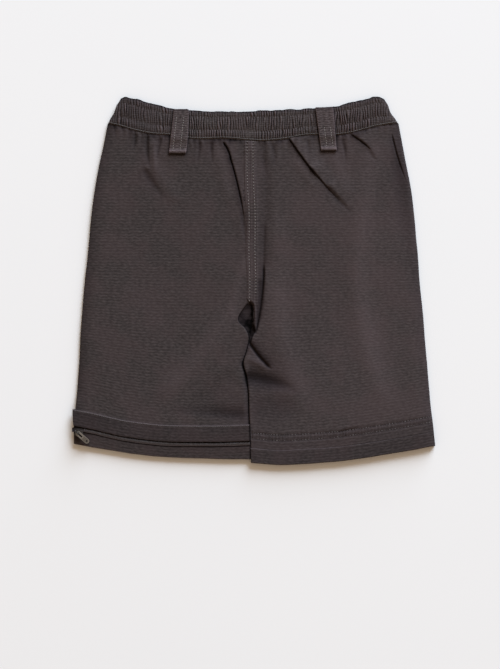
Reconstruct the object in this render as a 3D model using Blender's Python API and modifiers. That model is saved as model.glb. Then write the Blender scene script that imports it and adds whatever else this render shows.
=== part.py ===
"""Child's zip-off trousers in their shorts form, laid flat with the back up.

The tables are in millimetres and the meshes in metres. X runs across the garment, Y up towards the waist
and Z up from the surface it lies on. The origin is on that surface, under the middle of the garment's box.
The front pieces lie flat on the surface and the back pieces lie over them, with their folds.
"""

from collections import namedtuple
import math

import bmesh
import bpy
import numpy as np
from mathutils import Matrix, Vector

MM = 0.001

# Cloth walls and the gap that parts two pieces at a seam.
CLOTH = 1.2
SEAM_GAP = 0.3

# Heights above the surface, from the front pieces up to the zip's cover flap.
FRONT_TOP = CLOTH
FRONT_WAIST_TOP = 2.0
FRONT_HEM_TOP = 3.0
LOWER_BAND = (3.3, 4.5)
ZIP_STRIP = (4.8, 5.8)
FLAP_THICKNESS = 1.3
HEM_THICKNESS = 1.8
HEM_HEIGHT = 6.4
SIDE_RIM = FRONT_TOP + SEAM_GAP + CLOTH
HEM_SIDE_RIM = FRONT_HEM_TOP + SEAM_GAP + CLOTH

# Widths of the left leg's hem pieces, measured down from the flap's top edge.
FLAP_LAP = 6.0
FLAP_WIDTH = 17.3
STRIP_START = 11.0
STRIP_END = 21.6
LOWER_BAND_START = 16.0
LOWER_BAND_END = 33.4
FLAP_LEFT = -181.0
STRIP_LEFT = -181.55
LOWER_BAND_LEFT = -179.5
HEM_BAND_WIDTH = 15.0

# Rounding of the back where it turns down to the front.
SIDE_ROUND = 16.0
PARTING_ROUND = 7.0
PARTING_DROP = 0.35
WAIST_END_ROUND = 8.0
RIM_CLIMB = (3.0, 22.0)
CROTCH_UP = -30.0

# Lines across the garment: seams and edges, each a row for every place where it bends.
Line = namedtuple("Line", "across up")
WAIST_SEAM = [
    Line(-145.8, 157.0),
    Line(-133.3, 153.9),
    Line(-117.3, 149.3),
    Line(-101.3, 146.1),
    Line(-81.3, 144.9),
    Line(-62.3, 141.5),
    Line(-27.3, 141.7),
    Line(9.8, 139.3),
    Line(32.8, 141.2),
    Line(51.8, 144.7),
    Line(82.8, 145.1),
    Line(97.8, 147.1),
    Line(124.8, 154.2),
    Line(145.3, 157.5),
]
WAIST_TOP = [
    Line(-134.5, 181.0),
    Line(-128.3, 183.8),
    Line(-123.8, 183.0),
    Line(-103.3, 177.5),
    Line(-81.3, 171.8),
    Line(-58.3, 170.0),
    Line(-23.3, 169.0),
    Line(10.8, 170.1),
    Line(59.5, 172.2),
    Line(82.5, 174.4),
    Line(107.8, 180.1),
    Line(125.8, 183.5),
    Line(132.4, 181.0),
]
FLAP_TOP = [
    Line(-180.3, -128.9),
    Line(-153.8, -133.9),
    Line(-125.3, -139.2),
    Line(-101.3, -142.8),
    Line(-69.3, -144.2),
    Line(-37.3, -144.9),
    Line(-3.6, -143.9),
]
RIGHT_HEM = [
    Line(-2.0, -181.6),
    Line(28.8, -183.8),
    Line(46.8, -183.2),
    Line(87.8, -180.5),
    Line(121.8, -175.4),
    Line(145.8, -171.1),
    Line(181.5, -164.8),
]

# Edges down the garment: a row for every section of the legs.
Edge = namedtuple("Edge", "up across")
LEFT_SIDE = [
    Edge(157.0, -145.8),
    Edge(140.5, -149.0),
    Edge(99.5, -157.2),
    Edge(58.5, -162.8),
    Edge(18.5, -166.5),
    Edge(-19.5, -170.2),
    Edge(-86.5, -174.8),
    Edge(-136.0, -178.4),
]
RIGHT_SIDE = [
    Edge(157.5, 145.3),
    Edge(128.5, 150.1),
    Edge(85.5, 158.0),
    Edge(42.5, 162.6),
    Edge(-1.5, 166.0),
    Edge(-40.5, 169.7),
    Edge(-81.5, 173.4),
    Edge(-127.5, 177.1),
    Edge(-165.0, 181.5),
]
CENTRE = [
    Edge(141.0, -3.2),
    Edge(80.0, -2.2),
    Edge(20.0, -0.8),
    Edge(-20.0, -0.8),
    Edge(-55.0, -2.8),
    Edge(-70.5, -6.3),
    Edge(-81.5, -9.7),
    Edge(-96.5, -6.4),
    Edge(-110.5, -4.8),
    Edge(-131.5, -4.1),
    Edge(-184.0, -2.0),
]

# Height of the back's outer face down its length, away from its edges.
Height = namedtuple("Height", "up rise")
BACK_HEIGHT = [
    Height(-184.0, 6.2),
    Height(-145.0, 6.0),
    Height(-110.0, 5.5),
    Height(-60.0, 4.9),
    Height(40.0, 4.7),
    Height(120.0, 5.0),
    Height(157.0, 4.7),
]

# Folds of the back, each a soft trough from its start to its end with a low ridge along one side.
Fold = namedtuple("Fold", "start_across start_up end_across end_up half_width depth ridge")
FOLDS = [
    # Long slanting fold on the right seat, under the waistband.
    Fold(34.5, 143.0, 98.5, 69.0, 2.6, 1.7, 0.8),
    # Short fold beside the right belt loop.
    Fold(97.5, 146.0, 123.5, 124.0, 2.6, 1.5, 0.5),
    # Fold beside the top of the centre-back seam.
    Fold(-30.0, 138.5, -8.5, 46.0, 2.6, 1.6, -0.5),
    # Soft dent on the left seat.
    Fold(-110.0, 110.0, -90.0, 86.0, 4.0, 0.8, 0.3),
    # Soft trough down the right of the centre-back seam.
    Fold(10.5, 84.0, 5.5, -20.0, 3.5, 0.8, 0.4),
    # Hollow at the crotch.
    Fold(-5.5, -16.0, -1.0, -58.0, 5.0, 2.6, 0.0),
    # Slanting fold from the crotch into the right leg.
    Fold(-4.0, -54.0, 17.5, -88.0, 2.8, 1.7, 0.6),
    # Broad shadowed trough across the top of the right thigh.
    Fold(-7.0, -94.0, 43.0, -106.0, 5.0, 1.0, -0.4),
]

# Broad swells of the back between the folds.
Swell = namedtuple("Swell", "across up half_width half_length rise")
SWELLS = [
    Swell(124.0, 90.0, 16.0, 60.0, 0.7),
    Swell(-85.0, 40.0, 45.0, 70.0, 0.4),
    Swell(95.0, -40.0, 35.0, 60.0, 0.5),
    Swell(-100.0, -60.0, 30.0, 50.0, 0.5),
    Swell(45.0, 40.0, 25.0, 50.0, 0.4),
]

# Felled centre-back seam, which stands up from the panels.
CENTRE_SEAM_HALF = 6.0
CENTRE_SEAM_RISE = 0.5
CENTRE_SEAM_FOOT = -16.0

# Waistband: gathers on its elastic, two rows of stitching through it, and its rows from the seam up.
GATHER_COUNT = 97
GATHER_RISE = 0.5
GATHER_SEED = 7
WAIST_HEIGHT = 5.3
WAIST_END_RIM = 3.4
WaistRow = namedtuple("WaistRow", "share gathered drop")
WAIST_ROWS = [
    WaistRow(0.00, 0.30, 0.6),
    WaistRow(0.17, 1.00, 0.1),
    WaistRow(0.33, 0.35, 0.5),
    WaistRow(0.45, 1.00, 0.0),
    WaistRow(0.66, 1.00, 0.0),
    WaistRow(0.79, 0.35, 0.5),
    WaistRow(0.90, 1.00, 0.2),
    WaistRow(1.00, 0.50, 0.9),
]
WAIST_ENDS_LEFT = [
    Edge(0.0, -145.6),
    Edge(0.45, -140.0),
    Edge(0.8, -136.2),
    Edge(1.0, -133.0),
]
WAIST_ENDS_RIGHT = [
    Edge(0.0, 145.1),
    Edge(0.45, 138.0),
    Edge(0.8, 134.4),
    Edge(1.0, 131.5),
]

# Belt loops, narrow strips from the waistband's top edge to a folded foot below the waist seam.
Loop = namedtuple("Loop", "name top_left top_right top_up foot_left foot_right foot_up")
BELT_LOOPS = [
    Loop("belt_loop_left", -79.2, -65.4, 172.0, -84.5, -68.1, 127.0),
    Loop("belt_loop_right", 61.9, 80.0, 173.6, 67.8, 83.4, 129.7),
]
LOOP_FOOT_FOLD = 3.0
LOOP_FOOT_THICKNESS = 2.0

# Zip slider and its pull tab.
SLIDER_PLACE = (-174.3, -152.6)
SLIDER_TURN_DEG = -10.5
SLIDER_LENGTH = 8.0
SLIDER_WIDTH = 6.6
SLIDER_HEIGHT = 1.6
PIVOT_PLACE = (-175.9, -151.9)
PIVOT_RISE = 1.0
TAB_TURN_DEG = -41.0
TAB_TILT_DEG = 2.5
TAB_START = -0.55
TAB_LENGTH = 15.8
TAB_WIDTH = 4.8
TAB_THICKNESS = 1.0
TAB_SLOT = (0.5, 3.35)
TAB_SLOT_WIDTH = 1.9
TAB_HOLE_RADIUS = 0.9
TAB_HOLE_FROM_END = 2.4
BRIDGE_WIDTH = 1.2
BRIDGE_HALF_SPAN = 1.85
BRIDGE_METAL = 0.8
BRIDGE_INSIDE = 2.0
BRIDGE_ROOT = 0.4

# Colours, from the photo: charcoal cloth, a slightly lighter zip and grey metal.
Finish = namedtuple("Finish", "colour roughness metallic")
CLOTH_FINISH = Finish((0.052, 0.042, 0.041), 0.9, 0.0)
WAIST_FINISH = Finish((0.048, 0.039, 0.038), 0.9, 0.0)
TAPE_FINISH = Finish((0.068, 0.058, 0.058), 0.7, 0.0)
METAL_FINISH = Finish((0.17, 0.165, 0.155), 0.45, 1.0)

# Grid steps of the pieces.
RIM_COLUMNS = (0.0, 1.5, 5.0, 11.0, 18.0)
PANEL_STEP = 10.5
BAND_STEP = 14.0
ARC_STEPS = 4


def curve_through(table):
    """A smooth function through a table's rows: its first column goes in and its second comes out."""
    knots = np.array(sorted(table), float)
    places, values = knots.T
    slopes = np.gradient(values, places)

    def value(at):
        at = np.clip(at, places[0], places[-1])
        i = np.clip(np.searchsorted(places, at, side="right") - 1, 0, len(places) - 2)
        step = places[i + 1] - places[i]
        t = (at - places[i]) / step
        start = values[i] * (1 + 2 * t) * (1 - t) ** 2 + slopes[i] * step * t * (1 - t) ** 2
        end = values[i + 1] * t**2 * (3 - 2 * t) - slopes[i + 1] * step * t**2 * (1 - t)
        return start + end

    return value


waist_seam = curve_through(WAIST_SEAM)
waist_top = curve_through(WAIST_TOP)
flap_top = curve_through(FLAP_TOP)
right_hem = curve_through(RIGHT_HEM)
left_side = curve_through(LEFT_SIDE)
right_side = curve_through(RIGHT_SIDE)
centre = curve_through(CENTRE)
plain_height = curve_through(BACK_HEIGHT)


def moved(line, by):
    """The same line, moved by a number of millimetres."""
    return lambda at: line(at) + by


def fixed(value):
    """A straight line at one value."""
    return lambda at: value + 0.0 * np.asarray(at)


def rounded(distance, radius):
    """0 at an edge and 1 a radius inside it, with the quarter-round between them."""
    share = np.clip(distance / radius, 0.0, 1.0)
    return np.sqrt(1.0 - (1.0 - share) ** 2)


def fading(value, start, end):
    """0 at start and 1 at end, eased between them."""
    t = np.clip((value - start) / (end - start), 0.0, 1.0)
    return t * t * (3.0 - 2.0 * t)


def fold_relief(x, y, fold):
    """Rise or fall that one fold gives the back at x, y."""
    run = np.array([fold.end_across - fold.start_across, fold.end_up - fold.start_up])
    length = np.hypot(*run)
    along = ((x - fold.start_across) * run[0] + (y - fold.start_up) * run[1]) / length**2
    off = ((x - fold.start_across) * run[1] - (y - fold.start_up) * run[0]) / length
    strength = fading(along, -0.05, 0.08) * (1.0 - fading(along, 0.65, 1.05))
    trough = np.exp(-((off / fold.half_width) ** 2))
    beside = -math.copysign(3.0, fold.ridge) * fold.half_width
    bank = np.exp(-(((off - beside) / (2.2 * fold.half_width)) ** 2))
    return strength * (abs(fold.ridge) * bank - fold.depth * trough)


def side_rim(x, y):
    """Height of the back's outer face at the side folds, which climbs onto the thicker front hem."""
    over_hem = np.where(x < centre(y), y - flap_top(x), y - right_hem(x) - HEM_BAND_WIDTH)
    return HEM_SIDE_RIM + (SIDE_RIM - HEM_SIDE_RIM) * fading(over_hem, *RIM_CLIMB)


def back_height(x, y):
    """Height of the back's outer face over the surface."""
    rim = side_rim(x, y)
    height = plain_height(y)
    for swell in SWELLS:
        reach = ((x - swell.across) / swell.half_width) ** 2 + ((y - swell.up) / swell.half_length) ** 2
        height = height + swell.rise * np.exp(-reach)
    for fold in FOLDS:
        height = height + fold_relief(x, y, fold)
    on_seam = 1.0 - fading(np.abs(x - centre(y)), CENTRE_SEAM_HALF - 2.0, CENTRE_SEAM_HALF + 2.0)
    height = height + CENTRE_SEAM_RISE * on_seam * fading(y, CENTRE_SEAM_FOOT, CENTRE_SEAM_FOOT + 14.0)
    in_leg = 1.0 - fading(y, CROTCH_UP - 25.0, CROTCH_UP)
    parting = PARTING_DROP * in_leg * (1.0 - rounded(np.abs(x - centre(y)), PARTING_ROUND))
    height = rim + (height - rim) * (1.0 - parting)
    side = np.minimum(x - left_side(y), right_side(y) - x)
    height = rim + (height - rim) * rounded(side, SIDE_ROUND)
    return np.maximum(height, SIDE_RIM)


def grid_between(near, far, top, bottom, across_shares, down_shares):
    """A piece's points: rows from its top line to its bottom line, columns from its near to its far edge."""
    share, down = np.meshgrid(across_shares, down_shares)
    up = 0.0 * share
    for _ in range(6):
        across = near(up) + (far(up) - near(up)) * share
        up = top(across) + (bottom(across) - top(across)) * down
    return across, up


def even_shares(length, step):
    """Shares from 0 to 1 in equal steps, about one for each step of the length."""
    return np.linspace(0.0, 1.0, max(2, round(length / step)) + 1)


def panel_shares(width):
    """Column shares from a panel's inner edge to its side, closer together at the side."""
    rim = 1.0 - np.array(RIM_COLUMNS[::-1]) / width
    inner = np.linspace(0.0, rim[0], round((width - RIM_COLUMNS[-1]) / PANEL_STEP) + 1)
    return np.concatenate([inner[:-1], rim])


def panel_rows(bottom):
    """Row shares down a panel. Both panels of a pair share their rows along the centre, down to the last one."""
    length = float(waist_seam(centre(0.0)) - bottom(centre(0.0)))
    return np.append(np.arange(0.0, length - PANEL_STEP / 2, PANEL_STEP) / length, 1.0)


def set_on_folds(across, up):
    """Moves the nearest point of each row onto each fold that crosses it, so that the trough keeps its line."""
    across = across.copy()
    for fold in FOLDS:
        for row in range(1, len(across) - 1):
            low, high = sorted((fold.start_up, fold.end_up))
            share = (up[row] - fold.start_up) / (fold.end_up - fold.start_up)
            on_fold = fold.start_across + (fold.end_across - fold.start_across) * share
            inside = (up[row] > low) & (up[row] < high)
            away = np.where(inside, np.abs(across[row] - on_fold), np.inf)
            nearest = 1 + int(np.argmin(away[1:-1]))
            if away[nearest] < PANEL_STEP / 2:
                across[row, nearest] = on_fold[nearest]
    return across


def finish_material(name, finish):
    """A plain material with one of the finishes named above."""
    material = bpy.data.materials.new(name)
    material.use_nodes = True
    shader = material.node_tree.nodes["Principled BSDF"]
    shader.inputs["Base Color"].default_value = (*finish.colour, 1.0)
    shader.inputs["Roughness"].default_value = finish.roughness
    shader.inputs["Metallic"].default_value = finish.metallic
    return material


def add_object(name, mesh, finish, parts):
    """Puts a mesh in the garment's collection as one named piece with its own material."""
    mesh.materials.clear()
    mesh.materials.append(finish_material(name + "_finish", finish))
    piece = bpy.data.objects.new(name, mesh)
    parts.objects.link(piece)
    return piece


def cloth_wall(name, across, up, outer, inner, finish, parts, plain_inside=False):
    """A closed wall of cloth between its outer and its inner heights over one grid of points.

    A plain inside has only the first and last rows of the inner points.
    """
    rows, columns = across.shape
    inner_rows = [0, rows - 1] if plain_inside else list(range(rows))
    work = bmesh.new()

    def points(row, heights):
        spots = zip(across[row], up[row], heights[row])
        return [work.verts.new((x * MM, y * MM, z * MM)) for x, y, z in spots]

    over = [points(row, outer) for row in range(rows)]
    under = {row: points(row, inner) for row in inner_rows}
    for a, b in zip(range(rows - 1), range(1, rows)):
        for c in range(columns - 1):
            work.faces.new((over[a][c], over[b][c], over[b][c + 1], over[a][c + 1]))
    for a, b in zip(inner_rows, inner_rows[1:]):
        for c in range(columns - 1):
            work.faces.new((under[a][c], under[a][c + 1], under[b][c + 1], under[b][c]))
        for c in (0, columns - 1):
            rim = [over[row][c] for row in range(a, b + 1)]
            work.faces.new(rim + [under[b][c], under[a][c]])
    for row in (0, rows - 1):
        for c in range(columns - 1):
            work.faces.new((over[row][c], over[row][c + 1], under[row][c + 1], under[row][c]))
    bmesh.ops.recalc_face_normals(work, faces=work.faces)
    mesh = bpy.data.meshes.new(name)
    work.to_mesh(mesh)
    work.free()
    return add_object(name, mesh, finish, parts)


def outline_of(grid):
    """A grid's values round its edge, once each."""
    return np.concatenate([grid[0, :-1], grid[:-1, -1], grid[-1, :0:-1], grid[:0:-1, 0]])


def flat_piece(name, across, up, top, finish, parts):
    """A front piece: the outline of a grid of points, flat on the surface and level on top."""
    spots = list(zip(outline_of(across), outline_of(up)))
    work = bmesh.new()
    low = [work.verts.new((x * MM, y * MM, 0.0)) for x, y in spots]
    high = [work.verts.new((x * MM, y * MM, top * MM)) for x, y in spots]
    work.faces.new(low)
    work.faces.new(high[::-1])
    for i, _ in enumerate(spots):
        work.faces.new((low[i - 1], high[i - 1], high[i], low[i]))
    bmesh.ops.recalc_face_normals(work, faces=work.faces)
    mesh = bpy.data.meshes.new(name)
    work.to_mesh(mesh)
    work.free()
    return add_object(name, mesh, finish, parts)


def back_panel(name, side, bottom, parts):
    """One back leg panel, from the waist seam down, with the folds that cross it."""
    edge = left_side if side < 0 else right_side
    across, up = grid_between(
        moved(centre, side * SEAM_GAP / 2),
        edge,
        moved(waist_seam, -SEAM_GAP / 2),
        bottom,
        panel_shares(abs(edge(0.0) - centre(0.0))),
        panel_rows(bottom),
    )
    across = set_on_folds(across, up)
    outer = back_height(across, up)
    inner = np.maximum(outer - CLOTH, FRONT_TOP + SEAM_GAP)
    cloth_wall(name, across, up, outer, inner, CLOTH_FINISH, parts)


def front_panel(name, side, bottom, parts):
    """One front leg panel, flat on the surface."""
    edge = left_side if side < 0 else right_side
    across, up = grid_between(
        moved(centre, side * SEAM_GAP / 2),
        edge,
        moved(waist_seam, -SEAM_GAP / 2),
        bottom,
        even_shares(abs(edge(0.0)), PANEL_STEP),
        panel_rows(bottom),
    )
    flat_piece(name, across, up, FRONT_TOP, CLOTH_FINISH, parts)


def band(name, near, far, top, bottom, outer, inner, finish, parts):
    """A strip along a hem, such as a flap, a tape or a band, with its heights as functions of x and y."""
    length = abs(far(-150.0) - near(-150.0))
    across, up = grid_between(near, far, top, bottom, even_shares(length, BAND_STEP), (0.0, 0.15, 0.5, 0.85, 1.0))
    cloth_wall(name, across, up, outer(across, up), inner(across, up), finish, parts)


def front_hem(name, near, far, top, bottom, parts):
    """A front hem band, with its own zip inside, as one thick flat piece."""
    length = abs(far(-150.0) - near(-150.0))
    across, up = grid_between(near, far, top, bottom, even_shares(length, BAND_STEP), (0.0, 0.5, 1.0))
    flat_piece(name, across, up, FRONT_HEM_TOP, CLOTH_FINISH, parts)


def level(height):
    """A height that is the same all over a piece."""
    return lambda x, y: height + 0.0 * x


def left_hem(parts):
    """The left leg's cover flap, zip strip and lower band, each under the one before it, and the front band."""
    end = moved(centre, -SEAM_GAP / 2)

    def over_panel(x, y):
        """The flap lies on the panel at its top and comes down to the zip strip at its lower edge."""
        down = fading(flap_top(x) - y, FLAP_LAP, FLAP_WIDTH)
        on_panel = plain_height(flap_top(x)) + SEAM_GAP
        return on_panel + (ZIP_STRIP[1] + SEAM_GAP - on_panel) * down

    band(
        "zip_flap_left",
        fixed(FLAP_LEFT),
        end,
        flap_top,
        moved(flap_top, -FLAP_WIDTH),
        lambda x, y: over_panel(x, y) + FLAP_THICKNESS,
        over_panel,
        CLOTH_FINISH,
        parts,
    )
    band(
        "zip_strip_left",
        fixed(STRIP_LEFT),
        end,
        moved(flap_top, -STRIP_START),
        moved(flap_top, -STRIP_END),
        level(ZIP_STRIP[1]),
        level(ZIP_STRIP[0]),
        TAPE_FINISH,
        parts,
    )
    band(
        "lower_band_left",
        fixed(LOWER_BAND_LEFT),
        end,
        moved(flap_top, -LOWER_BAND_START),
        moved(flap_top, -LOWER_BAND_END),
        level(LOWER_BAND[1]),
        level(LOWER_BAND[0]),
        CLOTH_FINISH,
        parts,
    )
    front_hem(
        "hem_band_front_left",
        fixed(LOWER_BAND_LEFT),
        end,
        moved(flap_top, -SEAM_GAP / 2),
        moved(flap_top, -LOWER_BAND_END),
        parts,
    )


def right_hem_bands(parts):
    """The right leg's hem band over its zip, and the front band under it."""
    near = moved(centre, SEAM_GAP / 2)
    seam = moved(right_hem, HEM_BAND_WIDTH - SEAM_GAP / 2)

    def outer(x, y):
        turn = rounded(right_side(y) - x, SIDE_ROUND)
        return HEM_SIDE_RIM + (HEM_HEIGHT - HEM_SIDE_RIM) * turn

    def inner(x, y):
        return np.maximum(outer(x, y) - HEM_THICKNESS, FRONT_HEM_TOP + SEAM_GAP)

    band("hem_band_right", near, right_side, seam, right_hem, outer, inner, CLOTH_FINISH, parts)
    front_hem("hem_band_front_right", near, right_side, seam, right_hem, parts)


def waist_crest(x, y):
    """Height of the waistband without its gathers, down at its ends where it turns to the front."""
    share = (y - waist_seam(x)) / (waist_top(x) - waist_seam(x))
    left = curve_through(WAIST_ENDS_LEFT)(share)
    right = curve_through(WAIST_ENDS_RIGHT)(share)
    end = rounded(np.minimum(x - left, right - x), WAIST_END_ROUND)
    return WAIST_END_RIM + (WAIST_HEIGHT - WAIST_END_RIM) * end, end


def gather_columns():
    """Column shares across the waistband and how far each stands up: a valley, then the gather's two shoulders."""
    random = np.random.default_rng(GATHER_SEED)
    widths = random.uniform(0.75, 1.25, GATHER_COUNT)
    starts = np.concatenate([[0.0], np.cumsum(widths)]) / widths.sum()
    rises = random.uniform(0.6, 1.0, GATHER_COUNT)
    shares, standing = [], []
    for i in range(GATHER_COUNT):
        width = starts[i + 1] - starts[i]
        shares += [starts[i], starts[i] + 0.34 * width, starts[i] + 0.72 * width]
        standing += [-rises[i], rises[i], 0.8 * rises[i]]
    return np.array(shares + [1.0]), np.array(standing + [-1.0])


def waistband_back(parts):
    """The gathered back waistband: folds in its outer points over a plain inside."""
    shares, standing = gather_columns()
    row_shares = np.array([row.share for row in WAIST_ROWS])
    left = curve_through(WAIST_ENDS_LEFT)(row_shares)[:, None]
    right = curve_through(WAIST_ENDS_RIGHT)(row_shares)[:, None]
    across = left + (right - left) * shares
    low = waist_seam(across) + SEAM_GAP / 2
    up = low + (waist_top(across) - low) * row_shares[:, None]
    crest, end = waist_crest(across, up)
    gathered = np.array([row.gathered for row in WAIST_ROWS])[:, None]
    drop = np.array([row.drop for row in WAIST_ROWS])[:, None]
    outer = crest + (GATHER_RISE * gathered * standing - drop) * end
    inner = np.full_like(across, FRONT_WAIST_TOP + SEAM_GAP)
    cloth_wall("waistband_back", across, up, outer, inner, WAIST_FINISH, parts, plain_inside=True)


def waistband_front(parts):
    """The front waistband, flat on the surface."""
    row_shares = np.array([0.0, 0.45, 0.8, 1.0])
    left = curve_through(WAIST_ENDS_LEFT)(row_shares)[:, None]
    right = curve_through(WAIST_ENDS_RIGHT)(row_shares)[:, None]
    across = left + (right - left) * np.linspace(0.0, 1.0, 29)
    low = waist_seam(across) + SEAM_GAP / 2
    up = low + (waist_top(across) - low) * row_shares[:, None]
    flat_piece("waistband_front", across, up, FRONT_WAIST_TOP, WAIST_FINISH, parts)


def under_loop(left, right, up, reach):
    """The highest cloth under one row of a belt loop."""
    x, y = np.meshgrid(np.linspace(left, right, 7), np.linspace(up - reach, up + reach, 7))
    y = np.minimum(y, waist_top(x))
    on_waist = y > waist_seam(x) - SEAM_GAP
    crest, _ = waist_crest(x, y)
    return np.where(on_waist, crest + GATHER_RISE, back_height(x, y)).max()


def belt_loop(loop, parts):
    """A belt loop, made from the heights of the cloth under it and thicker at its folded foot."""
    fold = LOOP_FOOT_FOLD / (loop.top_up - loop.foot_up)
    down = np.concatenate([np.linspace(0.0, 1.0 - fold - 0.02, 7), [1.0 - fold, 1.0]])
    rows = len(down)
    left = np.interp(down, (0.0, 1.0), (loop.top_left, loop.foot_left))
    right = np.interp(down, (0.0, 1.0), (loop.top_right, loop.foot_right))
    height = np.interp(down, (0.0, 1.0), (loop.top_up, loop.foot_up))
    reach = 0.6 * (loop.top_up - loop.foot_up) / rows
    under = [under_loop(a, b, y, reach) + SEAM_GAP for a, b, y in zip(left, right, height)]
    thickness = np.where(down > 1.0 - fold - 0.01, LOOP_FOOT_THICKNESS, CLOTH)
    shares = np.linspace(0.0, 1.0, 4)
    across = left[:, None] + (right - left)[:, None] * shares
    up = height[:, None] + 0.0 * shares
    inner = np.array(under)[:, None] + 0.0 * shares
    outer = inner + thickness[:, None]
    cloth_wall(loop.name, across, up, outer, inner, WAIST_FINISH, parts)


def rounded_box(start, end, width, radius):
    """Points round a box along X with round corners, from start to end and centred on Y."""
    spots = []
    corners = [(end, 1, 0), (start, 1, 90), (start, -1, 180), (end, -1, 270)]
    for x, side, turn in corners:
        middle_x = x - radius if x == end else x + radius
        middle_y = side * (width / 2 - radius)
        for step in range(ARC_STEPS + 1):
            angle = math.radians(turn + 90 * step / ARC_STEPS)
            spots.append((middle_x + radius * math.cos(angle), middle_y + radius * math.sin(angle)))
    return spots


def flat_plate(name, outlines, thickness):
    """A plate from flat outlines, with the inner ones as holes, as a mesh centred on its own plane."""
    curve = bpy.data.curves.new(name, "CURVE")
    curve.dimensions = "2D"
    curve.fill_mode = "BOTH"
    curve.extrude = thickness / 2 * MM
    for outline in outlines:
        spline = curve.splines.new("POLY")
        spline.points.add(len(outline) - 1)
        for point, (x, y) in zip(spline.points, outline):
            point.co = (x * MM, y * MM, 0.0, 1.0)
        spline.use_cyclic_u = True
    holder = bpy.data.objects.new(name, curve)
    bpy.context.scene.collection.objects.link(holder)
    bpy.context.view_layer.update()
    shaped = holder.evaluated_get(bpy.context.evaluated_depsgraph_get())
    mesh = bpy.data.meshes.new_from_object(shaped)
    bpy.data.objects.remove(holder)
    bpy.data.curves.remove(curve)
    work = bmesh.new()
    work.from_mesh(mesh)
    bmesh.ops.remove_doubles(work, verts=work.verts, dist=1e-6)
    bmesh.ops.recalc_face_normals(work, faces=work.faces)
    work.to_mesh(mesh)
    work.free()
    return mesh


def turned(mesh, matrix):
    """The same mesh, moved by a matrix."""
    mesh.transform(matrix)
    return mesh


def slider_top():
    """Height of the slider's top face, where its bridge stands."""
    return ZIP_STRIP[1] + SEAM_GAP + SLIDER_HEIGHT


def zip_slider(parts, helpers):
    """The slider's rounded body with its bridge, an arch that the pull tab hangs on."""
    body = flat_plate(
        "slider_body",
        [rounded_box(-SLIDER_LENGTH / 2, SLIDER_LENGTH / 2, SLIDER_WIDTH, 2.0)],
        SLIDER_HEIGHT,
    )
    middle = Vector((*SLIDER_PLACE, slider_top() - SLIDER_HEIGHT / 2)) * MM
    turn = Matrix.Rotation(math.radians(SLIDER_TURN_DEG), 4, "Z")
    slider = add_object("zip_slider", turned(body, Matrix.Translation(middle) @ turn), METAL_FINISH, parts)
    half = BRIDGE_HALF_SPAN + BRIDGE_METAL
    crown = BRIDGE_INSIDE + BRIDGE_METAL
    arch_outline = [
        (-half, -BRIDGE_ROOT),
        (-BRIDGE_HALF_SPAN, -BRIDGE_ROOT),
        (-BRIDGE_HALF_SPAN, BRIDGE_INSIDE - 0.3),
        (-BRIDGE_HALF_SPAN + 0.3, BRIDGE_INSIDE),
        (BRIDGE_HALF_SPAN - 0.3, BRIDGE_INSIDE),
        (BRIDGE_HALF_SPAN, BRIDGE_INSIDE - 0.3),
        (BRIDGE_HALF_SPAN, -BRIDGE_ROOT),
        (half, -BRIDGE_ROOT),
        (half, crown - 0.9),
        (half - 0.9, crown),
        (-half + 0.9, crown),
        (-half, crown - 0.9),
    ]
    arch = flat_plate("slider_bridge", [arch_outline], BRIDGE_WIDTH)
    stand = Matrix.Rotation(math.radians(90), 4, "X")
    along_tab = Matrix.Rotation(math.radians(TAB_TURN_DEG), 4, "Z")
    foot = Matrix.Translation(Vector((*PIVOT_PLACE, slider_top())) * MM)
    bridge = add_object("slider_bridge", turned(arch, foot @ along_tab @ stand), METAL_FINISH, helpers)
    bridge.hide_render = True
    bridge.display_type = "WIRE"
    join = slider.modifiers.new("bridge", "BOOLEAN")
    join.operation = "UNION"
    join.object = bridge
    edges = slider.modifiers.new("worn_edges", "BEVEL")
    edges.width = 0.15 * MM
    edges.segments = 1
    edges.limit_method = "ANGLE"
    edges.angle_limit = math.radians(50)


def zip_pull_tab(parts):
    """The pull tab: a plate with a slot that the bridge passes through and a hole near its end."""
    end = TAB_START + TAB_LENGTH
    ring = [
        (end - TAB_HOLE_FROM_END + TAB_HOLE_RADIUS * math.cos(a), TAB_HOLE_RADIUS * math.sin(a))
        for a in np.linspace(0.0, 2.0 * math.pi, 12, endpoint=False)
    ]
    outlines = [
        rounded_box(TAB_START, end, TAB_WIDTH, 2.1),
        rounded_box(*TAB_SLOT, TAB_SLOT_WIDTH, 0.5),
        ring,
    ]
    tab = add_object("zip_pull_tab", flat_plate("zip_pull_tab", outlines, TAB_THICKNESS), METAL_FINISH, parts)
    tab.location = Vector((*PIVOT_PLACE, slider_top() + PIVOT_RISE)) * MM
    tab.rotation_euler = (0.0, math.radians(TAB_TILT_DEG), math.radians(TAB_TURN_DEG))


def clear_scene():
    """Removes every object that the scene starts with."""
    for thing in list(bpy.data.objects):
        bpy.data.objects.remove(thing)


def new_collection(name):
    collection = bpy.data.collections.new(name)
    bpy.context.scene.collection.children.link(collection)
    return collection


def build():
    clear_scene()
    parts = new_collection("zip_off_trousers_shorts_form")
    helpers = new_collection("helpers")
    left_panel_end = moved(flap_top, -FLAP_LAP)
    right_panel_end = moved(right_hem, HEM_BAND_WIDTH + SEAM_GAP / 2)
    back_panel("back_panel_left", -1, left_panel_end, parts)
    back_panel("back_panel_right", 1, right_panel_end, parts)
    front_panel("front_panel_left", -1, moved(flap_top, SEAM_GAP / 2), parts)
    front_panel("front_panel_right", 1, right_panel_end, parts)
    left_hem(parts)
    right_hem_bands(parts)
    waistband_back(parts)
    waistband_front(parts)
    for loop in BELT_LOOPS:
        belt_loop(loop, parts)
    zip_slider(parts, helpers)
    zip_pull_tab(parts)


build()
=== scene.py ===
import math
from collections import namedtuple

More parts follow.
